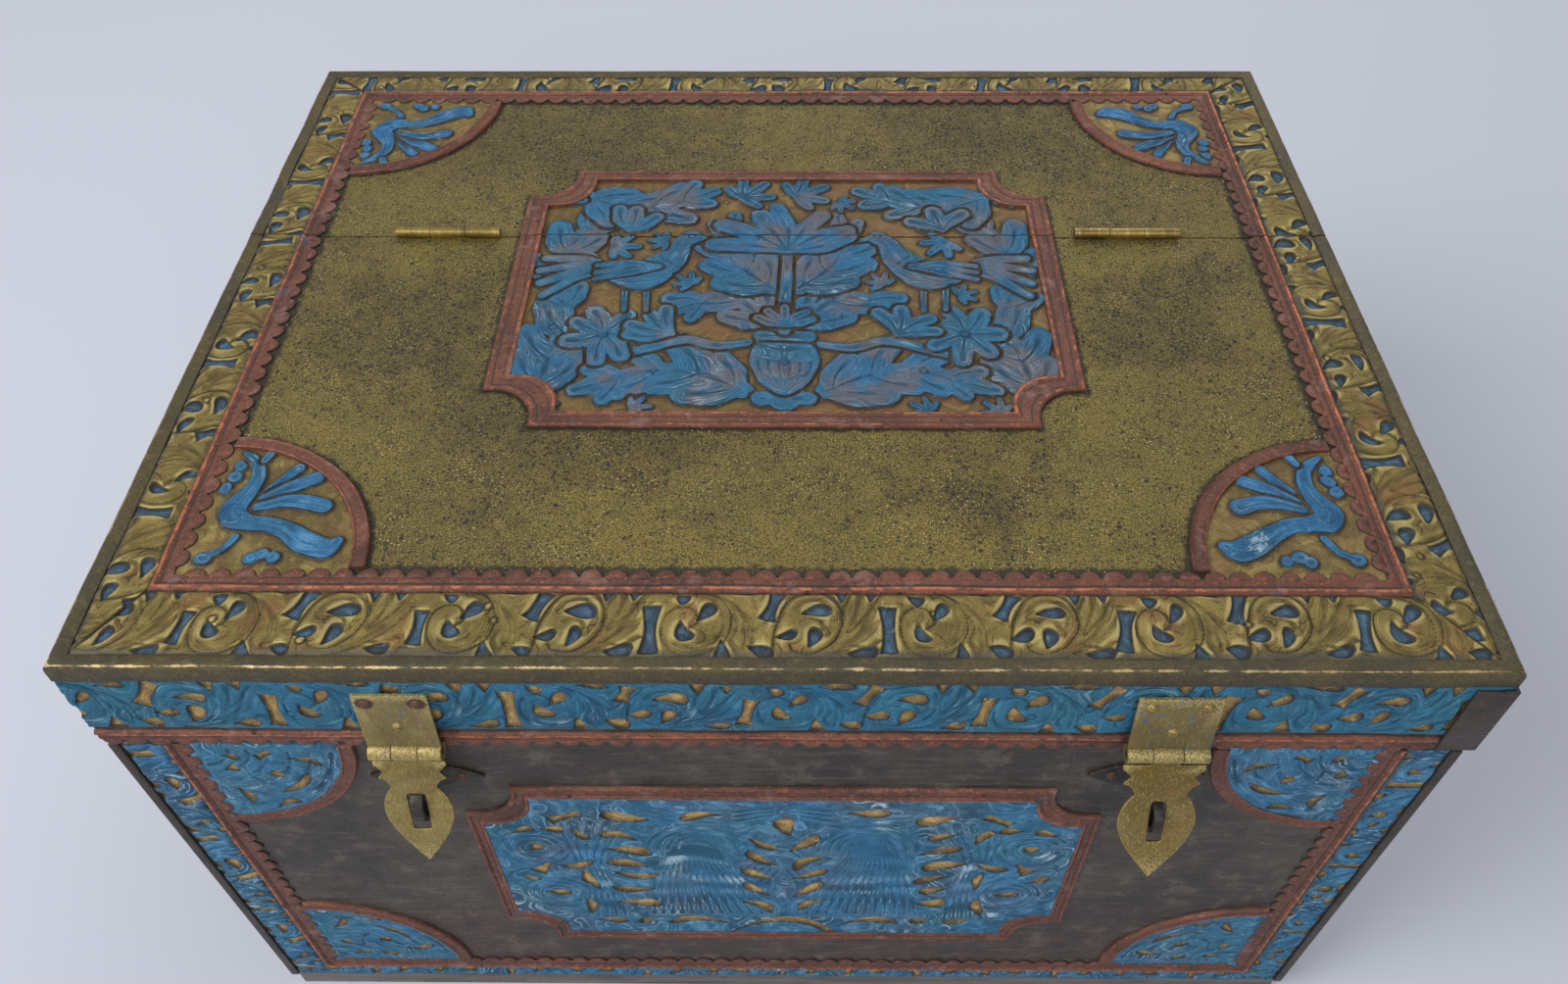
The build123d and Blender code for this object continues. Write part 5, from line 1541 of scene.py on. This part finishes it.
LOBE = lobe_pattern()
REPEAT = repeat_tree()


def repeated(lines, pattern, pitch, finish, seed):
    """Copies of a pattern along lines, each given as (start, end, inward, out) in trunk millimetres."""
    mesh = bpy.data.meshes.new("line")
    ends = [point for start, end, _, _ in lines for point in (start, end)]
    edges = [(2 * n, 2 * n + 1) for n in range(len(lines))]
    mesh.from_pydata([tuple(point * METRE) for point in ends], edges, [])
    for key, place in (("inward", 2), ("out", 3)):
        layer = mesh.attributes.new(key, "FLOAT_VECTOR", "POINT")
        layer.data.foreach_set("vector", np.repeat([line[place] for line in lines], 2, axis=0).ravel())
    carrier = add_object("line", mesh)
    modifier = carrier.modifiers.new("repeat", "NODES")
    modifier.node_group = REPEAT
    values = {"Pattern": pattern, "Pitch": pitch * METRE, "Size Change": LOBE_CHANGE, "Seed": seed,
              "Finish": finish}
    for item in REPEAT.interface.items_tree:
        if item.name in values:
            modifier[item.identifier] = values[item.name]
    carrier.update_tag()
    bpy.context.view_layer.update()
    evaluated = carrier.evaluated_get(bpy.context.evaluated_depsgraph_get())
    made = bpy.data.meshes.new_from_object(evaluated)
    carrier.modifiers.clear()
    carrier.data = made
    made.materials.clear()
    made.materials.append(finish)
    return carrier


def lobed_strip(face, corners, seed, width=MOULDING_WIDTH):
    """A copper bead, its flange and the scallops along the inner side, as one piece."""
    strip = sweep(face, corners, bead_profile(width), FINISH["copper"], seed)
    legs = legs_of(corners)
    lines = []
    for n, (before, after, ahead, right) in enumerate(legs):
        first = LOBE_PITCH / 2 + (width if n > 0 else 0)
        last = LOBE_PITCH / 2 + (width if n < len(legs) - 1 else 0)
        base = right * (width - LOBE_DEPTH)
        start, end = before + ahead * first + base, after - ahead * last + base
        inward = right[0] * face.right + right[1] * face.up
        lines.append((face.points(*start, 0.0), face.points(*end, 0.0), inward, face.out))
    return joined("strip", [strip, repeated(lines, LOBE, LOBE_PITCH, FINISH["copper"], seed)])


def fan_band(face, corner, seed):
    """The copper band along a fan's curved edge, with a thin raised line beside the relief."""
    cx, cy, turn, radius = corner
    draw = random.Random(seed)
    phases = [draw.uniform(0, 6.28) for _ in range(3)]
    points, wear_and_shade = [], []
    for n in range(BAND_PARTS + 1):
        angle = math.radians(turn + 90 * n / BAND_PARTS)
        sway = 0.22 * math.sin(7 * angle + phases[0]) + 0.15 * math.sin(13 * angle + phases[1])
        lift = 1 + 0.04 * math.sin(17 * angle + phases[2])
        for inset, height, worn in BAND_PROFILE:
            reach = radius - inset - 0.25 + sway * 0.5
            points.append((cx + reach * math.cos(angle), cy + reach * math.sin(angle), height * lift))
            wear_and_shade.append(worn)
    sections = np.arange(len(points)).reshape(BAND_PARTS + 1, -1)
    places = face.points(*np.array(points).T)
    return make_object(places, skin(sections, True), FINISH["copper"], {"crest": wear_and_shade})


def cartouche_points(half_w, half_h):
    """The cartouche's outline, anticlockwise, in short steps along its straight sides and scoops."""
    scoop = NOTCH - SHOULDER
    points = []
    for sx, sy in ((1, 1), (-1, 1), (-1, -1), (1, -1)):
        corner = [(half_w, half_h - NOTCH), (half_w - SHOULDER, half_h - NOTCH)]
        for n in range(1, 12):
            turn = math.radians(270 - 90 * n / 12)
            corner.append((half_w - SHOULDER + scoop * math.cos(turn),
                           half_h - SHOULDER + scoop * math.sin(turn)))
        corner += [(half_w - NOTCH, half_h - SHOULDER), (half_w - NOTCH, half_h)]
        if sx * sy < 0:
            corner.reverse()
        points += [(sx * u, sy * v) for u, v in corner]
    full = []
    for before, after in zip(points, points[1:] + points[:1]):
        before, after = np.array(before), np.array(after)
        wide, tall = np.abs(after - before)
        parts = 24 if wide > 20 else 14 if tall > 20 else 1
        full += [before + (after - before) * k / parts for k in range(parts)]
    return np.array(full)


def frame_ring(face, cy, outer, inner, seed):
    """A cartouche's copper frame: two worn ridges with a flat channel between them."""
    outside, inside = (cartouche_points(size[0] / 2, size[1] / 2) for size in (outer, inner))
    draw = random.Random(seed)
    sway = np.zeros(len(outside))
    for _ in range(4):
        sway += 0.12 * np.sin(np.arange(len(outside)) * draw.uniform(0.2, 1.2) + draw.uniform(0, 6.28))
    rings, wear_and_shade = [], []
    for share, height, worn in FRAME_PROFILE:
        moved = np.clip(share + sway * 0.1 * math.sin(math.pi * share), 0, 1)[:, None]
        line = outside + (inside - outside) * moved
        rings.append(face.points(line[:, 0], cy + line[:, 1], np.full(len(line), height)))
        wear_and_shade.append(np.full(len(line), worn))
    points = np.concatenate(rings)
    index = np.arange(len(points)).reshape(len(FRAME_PROFILE), -1)
    across, following = np.roll(index, -1, 0), np.roll(index, -1, 1)
    quads = np.stack([index, following, np.roll(across, -1, 1), across], -1).reshape(-1, 4)
    return make_object(points, (quads, []), FINISH["copper"], {"crest": np.concatenate(wear_and_shade)})


def half_of(source, split, keep_low):
    """The part of a closed piece on one side of the lid's split, capped."""
    mesh = source.data.copy()
    work = bmesh.new()
    work.from_mesh(mesh)
    bmesh.ops.bisect_plane(work, geom=work.verts[:] + work.edges[:] + work.faces[:],
                           plane_co=(0, split * METRE, 0), plane_no=(0, 1, 0), clear_outer=keep_low,
                           clear_inner=not keep_low)
    bmesh.ops.holes_fill(work, edges=[edge for edge in work.edges if edge.is_boundary], sides=0)
    bmesh.ops.recalc_face_normals(work, faces=work.faces[:])
    work.to_mesh(mesh)
    work.free()
    return add_object("half", mesh)


# Plain metal parts
def softened(node, width, finish):
    """A copy of a part of the construction model with rounded edges, and on them a crest value: above zero on
    outward edges for worn brass, below zero in inward bends for soiling and painted shade.
    """
    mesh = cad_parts[node].data.copy()
    work = bmesh.new()
    work.from_mesh(mesh)
    bmesh.ops.remove_doubles(work, verts=work.verts[:], dist=1e-6)
    bmesh.ops.dissolve_limit(work, angle_limit=math.radians(2.0), verts=work.verts[:], edges=work.edges[:])
    edges = [edge for edge in work.edges
             if len(edge.link_faces) == 2 and edge.calc_face_angle(0) > math.radians(SHARP_EDGE)]
    bmesh.ops.bevel(work, geom=edges, offset=width * METRE, segments=2, profile=0.6, affect="EDGES",
                    clamp_overlap=True)
    layer = work.verts.layers.float.new("crest")
    work.normal_update()
    for vert in work.verts:
        bend = sum(edge.calc_face_angle_signed(0) for edge in vert.link_edges if len(edge.link_faces) == 2)
        vert[layer] = max(-1.0, min(1.0, bend * 0.9))
    work.to_mesh(mesh)
    work.free()
    mesh.materials.clear()
    mesh.materials.append(finish)
    mesh.polygons.foreach_set("use_smooth", [True] * len(mesh.polygons))
    mesh.set_sharp_from_angle(angle=math.radians(45))
    return add_object("metal", mesh)


def plain_strip(face, x0, x1):
    """The strip of plain sheet on the skirt below its frieze."""
    x = np.array([x0, x1, x1, x0] * 2, float)
    y = np.array([SKIRT_BOTTOM, SKIRT_BOTTOM, SKIRT_LOW, SKIRT_LOW] * 2, float)
    height = np.array([-SHEET] * 4 + [0.0] * 4)
    quads = np.array([(3, 2, 1, 0), (4, 5, 6, 7), (0, 1, 5, 4), (1, 2, 6, 5), (2, 3, 7, 6), (3, 0, 4, 7)])
    return make_object(face.points(x, y, height), (quads, []), FINISH["wall"])


# Finishes of this trunk
PALE_TAN = (shade(204, 168, 102), shade(226, 196, 136), DEEP_TAN)
FINISH = {
    "border": relief_finish(
        "border_brass_over_blue", True, (shade(121, 106, 60), shade(160, 140, 80), DEEP_BRASS),
        (shade(74, 104, 126), shade(54, 74, 90), shade(110, 142, 164)), chalk=0.2),
    "frieze": relief_finish(
        "frieze_blue_over_brass", False, PALE_TAN,
        (shade(42, 106, 138), shade(28, 68, 90), shade(84, 138, 166)), 0.8, 0.25, 0.0, 0.2, 0.5),
    "wall_frieze": relief_finish(
        "wall_frieze_blue_over_brass", False, PALE_TAN,
        (shade(52, 110, 148), shade(32, 72, 98), shade(118, 164, 194)), 0.6, 0.6, 0.1, 0.3, 0.8),
    "fan": relief_finish(
        "fan_blue_over_brass", False, (shade(130, 112, 66), shade(168, 148, 92), DEEP_BRASS),
        (shade(48, 104, 150), shade(34, 72, 100), shade(104, 150, 182)), teal=0.4, earth=0.5),
    "panel": relief_finish(
        "cartouche_blue_over_brass", False, (shade(108, 89, 54), shade(146, 124, 74), DEEP_BRASS),
        (shade(44, 98, 134), shade(34, 70, 94), shade(92, 138, 168)), 0.4, 0.35, 0.8, 0.9, 0.4),
    "front_panel": relief_finish(
        "front_cartouche_blue_over_brass", False, (shade(206, 172, 106), shade(230, 200, 140), DEEP_TAN),
        (shade(50, 108, 146), shade(32, 72, 96), shade(120, 166, 194)), 0.5, 0.6, 0.2, 0.4, 0.7),
    "copper": copper_finish(),
    "field": field_finish(),
    "wall": wall_finish(),
    "edge": edge_finish(),
    "hasp": hasp_finish(),
    "hinge": plain_metal("hinge_brass", shade(150, 128, 66), shade(92, 76, 38), shade(220, 204, 140),
                         0.7, 0.4, 0.25, (1.6, 0.3, 0.3)),
    "steel": plain_metal("dark_iron", shade(64, 60, 52), shade(38, 35, 32), shade(122, 112, 86), 0.6, 0.5,
                         0.15),
    "corner": plain_metal("dark_corner_metal", shade(74, 66, 58), shade(46, 42, 40), shade(120, 110, 96),
                          0.6, 0.5, 0.2),
    "handle": plain_metal("handle_brass", shade(140, 122, 68), shade(88, 78, 48), shade(206, 190, 130),
                          0.85, 0.4, 0.1),
    "nail": nail_finish(),
    "plinth": wood_finish("worn_plinth_wood", PLINTH, shade(70, 64, 58), (0.12, 1.0, 1.0)),
    "board": wood_finish("plain_board_wood", WOOD, DARK_WOOD, (0.1, 1.0, 1.0)),
    "end_board": wood_finish("plain_end_board_wood", WOOD, DARK_WOOD, (1.0, 0.1, 1.0)),
}


# Scroll borders of the top, brass with small blue openings
OUT_X, OUT_FRONT, OUT_BACK = EDGE_X - EDGE_WIDTH, EDGE_FRONT + EDGE_WIDTH, EDGE_BACK - EDGE_WIDTH
for name, body, node, seed, outlines in (
        ("lid_scroll_border", "lid", "lid_border", 101, (
            ((-OUT_X, OUT_FRONT), (OUT_X, OUT_FRONT), (FIELD_RIGHT, FIELD_FRONT), (FIELD_LEFT, FIELD_FRONT)),
            ((FIELD_LEFT, FIELD_FRONT), (FIELD_LEFT, LID_END), (-OUT_X, LID_END), (-OUT_X, OUT_FRONT)),
            ((OUT_X, OUT_FRONT), (OUT_X, LID_END), (FIELD_RIGHT, LID_END), (FIELD_RIGHT, FIELD_FRONT)))),
        ("deck_scroll_border", "chest", "deck_border", 111, (
            ((FIELD_LEFT, FIELD_BACK), (FIELD_RIGHT, FIELD_BACK), (OUT_X, OUT_BACK), (-OUT_X, OUT_BACK)),
            ((FIELD_LEFT, DECK_END), (FIELD_LEFT, FIELD_BACK), (-OUT_X, OUT_BACK), (-OUT_X, DECK_END)),
            ((OUT_X, DECK_END), (OUT_X, OUT_BACK), (FIELD_RIGHT, FIELD_BACK), (FIELD_RIGHT, DECK_END))))):
    strips = [scroll_strip(TOP, outline, "border", 0.96, seed + n, FINE, 1.0, mitred=True)
              for n, outline in enumerate(outlines)]
    ready(name, strips, body, node)


# Friezes of the skirt and the walls, blue with tan openings
def upper_frieze(face, x0, x1, seed, step, back=0.0):
    """A frieze at the height of the skirt."""
    corners = ((x0, SKIRT_LOW), (x1, SKIRT_LOW), (x1, BAND_TOP), (x0, BAND_TOP))
    return scroll_strip(face, corners, "frieze", 0.98, seed, step, 1.05, back=back)


def skirt_side(side, x0, x1, seed, step):
    """The sheet metal on one side of the lid's skirt."""
    return [upper_frieze(SKIRT[side], x0, x1, seed, step, -SHEET), plain_strip(SKIRT[side], x0, x1)]


def wall_friezes(side, half, inner, step, seed, upper=None):
    """The U-shaped frieze of a wall, and the band round the deck above it where there is one."""
    low_inner = WALL_BOTTOM + BASE_FRIEZE
    outlines = (
        (((-half, WALL_BOTTOM), (half, WALL_BOTTOM), (inner, low_inner), (-inner, low_inner)),
         0.8, WALL_BOTTOM + 3),
        (((-inner, low_inner), (-inner, WALL_TOP), (-half, WALL_TOP), (-half, WALL_BOTTOM)), 0.82, 5 - half),
        (((half, WALL_BOTTOM), (half, WALL_TOP), (inner, WALL_TOP), (inner, low_inner)), 0.82, half - 5))
    made = [scroll_strip(WALL[side], outline, "wall_frieze", scale, seed + n, step, 0.95, middle)
            for n, (outline, scale, middle) in enumerate(outlines)]
    if upper:
        made.append(upper_frieze(WALL[side], *upper, seed + len(made), step))
    return made


WALL_HALF = high("front_frieze", X)
WALL_INNER = high("front_moulding", X)
END_INNER = -low("end_mouldings", Y)
END_HALF = END_INNER + WALL_HALF - WALL_INNER
for name, body, node, strips in (
        ("lid_front_scroll_frieze", "lid", "lid_front_frieze",
         skirt_side("front", -EDGE_X, EDGE_X, 201, FINE)),
        ("lid_end_scroll_friezes", "lid", "lid_end_friezes",
         skirt_side("left", -LID_END, LID_FRONT, 211, COARSE)
         + skirt_side("right", -LID_FRONT, LID_END, 212, COARSE)),
        ("front_scroll_frieze", "chest", "front_frieze",
         wall_friezes("front", WALL_HALF, WALL_INNER, WALL_STEP, 301)),
        ("back_scroll_friezes", "chest", "back_frieze",
         wall_friezes("back", WALL_HALF, WALL_INNER, COARSE, 311, (-WALL_HALF, WALL_HALF))),
        ("end_scroll_friezes", "chest", "end_friezes",
         wall_friezes("left", END_HALF, END_INNER, COARSE, 321, (-END_HALF, -DECK_END))
         + wall_friezes("right", END_HALF, END_INNER, COARSE, 331, (DECK_END, END_HALF)))):
    ready(name, strips, body, node)


# Copper mouldings with scalloped inner edges
def skirt_moulding(face, start, end, seed):
    """A straight strip along the foot of an upper frieze."""
    top = high("lid_skirt_moulding", Z)
    return lobed_strip(face, ((start, top), (end, top)), seed, SKIRT_STRIP)


def wall_moulding(side, inner, seed):
    """The strip inside a wall's U-shaped frieze."""
    low_inner = WALL_BOTTOM + BASE_FRIEZE
    corners = ((inner, WALL_TOP), (inner, low_inner), (-inner, low_inner), (-inner, WALL_TOP))
    return lobed_strip(WALL[side], corners, seed)


for name, body, node, strips in (
        ("lid_copper_moulding", "lid", "lid_moulding", [lobed_strip(
            TOP, ((FIELD_RIGHT, LID_END), (FIELD_RIGHT, FIELD_FRONT), (FIELD_LEFT, FIELD_FRONT),
                  (FIELD_LEFT, LID_END)), 401)]),
        ("deck_copper_moulding", "chest", "deck_moulding", [lobed_strip(
            TOP, ((FIELD_LEFT, DECK_END), (FIELD_LEFT, FIELD_BACK), (FIELD_RIGHT, FIELD_BACK),
                  (FIELD_RIGHT, DECK_END)), 402)]),
        ("skirt_copper_moulding", "lid", "lid_skirt_moulding", [
            skirt_moulding(SKIRT["front"], -EDGE_X, low("lid_corner_piece", X), 403),
            skirt_moulding(SKIRT["left"], -LID_END, LID_FRONT, 404),
            skirt_moulding(SKIRT["right"], high("lid_corner_piece", Y), LID_END, 405)]),
        ("front_copper_moulding", "chest", "front_moulding", [wall_moulding("front", WALL_INNER, 411)]),
        ("back_copper_moulding", "chest", "back_moulding", [
            wall_moulding("back", WALL_INNER, 412),
            skirt_moulding(WALL["back"], -WALL_HALF, WALL_HALF, 413)]),
        ("end_copper_mouldings", "chest", "end_mouldings", [
            wall_moulding("left", END_INNER, 414), wall_moulding("right", END_INNER, 415),
            skirt_moulding(WALL["left"], -END_HALF, -DECK_END, 416),
            skirt_moulding(WALL["right"], DECK_END, END_HALF, 417)])):
    ready(name, strips, body, node)


# Fans in the corners, each with its copper band
def wall_fan_corners(inner):
    edge, low_z = inner - MOULDING_WIDTH, WALL_BOTTOM + BASE_FRIEZE + MOULDING_WIDTH
    return ((-edge, low_z, 0, FAN_RADIUS), (edge, low_z, 90, FAN_RADIUS),
            (edge, WALL_TOP, 180, FAN_RADIUS_HIGH), (-edge, WALL_TOP, 270, FAN_RADIUS_HIGH))


bands = {"lid": [], "chest": []}
for name, body, node, groups in (
        ("lid_corner_fans", "lid", "lid_fans", ((TOP, TOP_FANS["lid"], 0.5, 501, False),)),
        ("deck_corner_fans", "chest", "deck_fans", ((TOP, TOP_FANS["chest"], 0.5, 511, False),)),
        ("front_corner_fans", "chest", "front_fans", (
            (WALL["front"], wall_fan_corners(WALL_INNER), 0.6, 521, True),)),
        ("end_corner_fans", "chest", "end_fans", (
            (WALL["left"], wall_fan_corners(END_INNER), COARSE, 531, True),
            (WALL["right"], wall_fan_corners(END_INNER), COARSE, 541, True)))):
    plates = []
    for face, corners, step, seed, wall in groups:
        for n, corner in enumerate(corners):
            plates.append(fan_plate(face, corner, step, seed + n, wall))
            bands[body].append(fan_band(face, corner, seed + n))
    ready(name, plates, body, node)
ready("lid_fan_copper_bands", bands["lid"], "lid", "lid_fan_bands")
ready("chest_fan_copper_bands", bands["chest"], "chest", "chest_fan_bands")


# Cartouches, each cut where its body ends
top_relief = top_panel_relief(TOP_INNER[0] / 2 + 2, TOP_INNER[1] / 2 + 2, FINE)
front_relief = front_panel_relief(FRONT_INNER[0] / 2 + 2, FRONT_INNER[1] / 2 + 2, 0.6)
for name, body, node, face, size, middle, y0, y1, relief, step, seed, finish in (
        ("lid_cartouche_relief", "lid", "lid_cartouche_panel", TOP, TOP_INNER, TOP_MIDDLE,
         low("lid_cartouche_panel", Y) - UNDER_FRAME, LID_END, top_relief, FINE, 601, "panel"),
        ("deck_cartouche_relief", "chest", "deck_cartouche_panel", TOP, TOP_INNER, TOP_MIDDLE,
         DECK_END, high("deck_cartouche_panel", Y) + UNDER_FRAME, top_relief, FINE, 601, "panel"),
        ("front_cartouche_relief", "chest", "front_cartouche_panel", WALL["front"], FRONT_INNER, FRONT_MIDDLE,
         low("front_cartouche_panel", Z) - UNDER_FRAME, high("front_cartouche_panel", Z) + UNDER_FRAME,
         front_relief, 0.6, 611, "front_panel")):
    plate = cartouche_plate(face, size, middle, y0, y1, relief, step, seed, finish)
    ready(name, [plate], body, node)
whole = frame_ring(TOP, TOP_MIDDLE, TOP_OUTER, TOP_INNER, 621)
ready("lid_cartouche_copper", [half_of(whole, LID_END, True)], "lid", "lid_cartouche_frame")
ready("deck_cartouche_copper", [half_of(whole, DECK_END, False)], "chest", "deck_cartouche_frame")
bpy.data.objects.remove(whole)
ready("front_cartouche_copper", [frame_ring(WALL["front"], FRONT_MIDDLE, FRONT_OUTER, FRONT_INNER, 631)],
      "chest", "front_cartouche_frame")


# Worn metal strip round the top's edge
# Section of the edge strip as (distance inwards, height, crest value): above zero where rubbed bright, below
# zero under and inside its step for soiling and painted shade
EDGE_PROFILE = (
    (0.0, -EDGE_DROP, -0.6), (0.0, -2.6, -0.1), (0.25, -1.1, 0.5), (0.95, -0.25, 1.0), (1.6, 0.0, 0.7),
    (3.0, -0.15, 0.0), (5.4, -0.6, 0.0), (6.4, -1.1, -0.5), (6.5, -1.8, -1.0), (2.6, -1.8, -1.0),
    (2.6, -EDGE_DROP, -1.0))
EDGE_FACE = Face((0, 0, TOP_Z), (1, 0, 0), (0, 0, 1))
for name, body, node, corners, seed in (
        ("lid_worn_edge", "lid", "lid_edge_strip",
         ((EDGE_X, LID_END), (EDGE_X, EDGE_FRONT), (-EDGE_X, EDGE_FRONT), (-EDGE_X, LID_END)), 701),
        ("deck_worn_edge", "chest", "deck_edge_strip",
         ((-EDGE_X, DECK_END), (-EDGE_X, EDGE_BACK), (EDGE_X, EDGE_BACK), (EDGE_X, DECK_END)), 702)):
    ready(name, [sweep(EDGE_FACE, corners, EDGE_PROFILE, FINISH["edge"], seed)], body, node)


# Hasps, staples, hinges, handles and other plain metal parts
for node, name, body, slot, finish, width in (
        ("hasp_leaf_left", "left_hasp_leaf", "hasp_left", "hasp_brass", "hasp", 0.3),
        ("hasp_leaf_right", "right_hasp_leaf", "hasp_right", "hasp_brass", "hasp", 0.3),
        ("hasp_upper_leaves", "hasp_upper_brass", "lid", "hasp_brass", "hasp", 0.25),
        ("staples", "bent_staples", "chest", "staple_steel", "steel", 0.4),
        ("staple_plates", "staple_iron_plates", "chest", "staple_steel", "steel", 0.3),
        ("lid_corner_piece", "lid_bent_corner", "lid", "corner_steel", "corner", 0.5),
        ("corner_angles", "wall_corner_angles", "chest", "corner_steel", "corner", 0.5),
        ("handle_plates", "handle_back_plates", "chest", "handle_brass", "handle", 0.35)):
    ready(name, [softened(node, width, FINISH[finish])], body, node)

for finish, nodes in {
        "field": ("lid_sheet", "deck_sheet"),
        "wall": ("front_sheet", "back_sheet", "end_sheets"),
        "plinth": ("bottom_board",),
        "board": ("front_board", "back_board", "deck_board", "lid_board", "lid_front_skirt"),
        "end_board": ("left_board", "right_board", "lid_left_skirt", "lid_right_skirt"),
        "hinge": ("lid_hinge_leaves", "deck_hinge_leaves"),
        "steel": ("hinge_pins", "lid_hinge_screws", "deck_hinge_screws", "hasp_pins"),
        "nail": ("hasp_nails", "chest_nails"),
        "handle": ("handle_left", "handle_right")}.items():
    for node in nodes:
        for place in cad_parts[node].material_slots:
            place.material = FINISH[finish]


# Floor, light and camera
def floor_finish():
    f = Finish("studio_floor")
    _, y, _ = f.split(f.place)
    # Painted light: the floor is made lighter towards the back, a painted gradient standing in for the lamps'
    # fall of light
    colour = f.mix((y * 0.0006 + 0.2).clamped(), shade(181, 184, 194), shade(196, 199, 209))
    return f.done(colour, 0.9, 0.0)


floor_mesh = bpy.data.meshes.new("studio_floor")
floor_corners = [(x * FLOOR_HALF, y * FLOOR_HALF, FLOOR_Z) for x, y in ((-1, -1), (1, -1), (1, 1), (-1, 1))]
floor_mesh.from_pydata(floor_corners, [], [(0, 1, 2, 3)])
floor_mesh.materials.append(floor_finish())
add_object("studio_floor", floor_mesh)

for name, place, target, size, power in (
        ("high_left_light", (-1.6, -0.9, 1.9), (0, 0, 0.2), 1.3, 44),
        ("front_light", (0.3, -2.2, 1.6), (0, 0, 0.15), 1.4, 21),
        ("back_light", (0.4, 1.8, 2.0), (0, 0, 0.3), 1.2, 16)):
    light = bpy.data.lights.new(name, "AREA")
    light.shape = "DISK"
    light.size = size
    light.energy = power
    lamp = add_object(name, light)
    lamp.location = place
    lamp.rotation_euler = (Vector(target) - Vector(place)).to_track_quat("-Z", "Y").to_euler()

world = bpy.data.worlds.new("studio_air")
bpy.context.scene.world = world
world.use_nodes = True
world.node_tree.nodes["Background"].inputs["Color"].default_value = (0.92, 0.95, 1.0, 1.0)
world.node_tree.nodes["Background"].inputs["Strength"].default_value = 0.5

camera_data = bpy.data.cameras.new("photo_camera")
camera_data.sensor_width = 36.0
camera_data.lens = 28.56
camera_data.clip_start = 0.01
camera = add_object("photo_camera", camera_data)
AZIMUTH, ELEVATION, ROLL = math.radians(0.8132), math.radians(48.418), math.radians(-0.4199)
forward = Vector((-math.sin(AZIMUTH) * math.cos(ELEVATION), math.cos(AZIMUTH) * math.cos(ELEVATION),
                  -math.sin(ELEVATION)))
right = forward.cross(Vector((0, 0, 1))).normalized()
up = right.cross(forward)
right, up = (math.cos(ROLL) * right + math.sin(ROLL) * up, -math.sin(ROLL) * right + math.cos(ROLL) * up)
turn = Matrix((right, up, -forward)).transposed().to_4x4()
camera.matrix_world = Matrix.Translation((0.005009, -0.44197, 0.67219)) @ turn
bpy.context.scene.camera = camera
bpy.context.scene.view_settings.view_transform = "Standard"
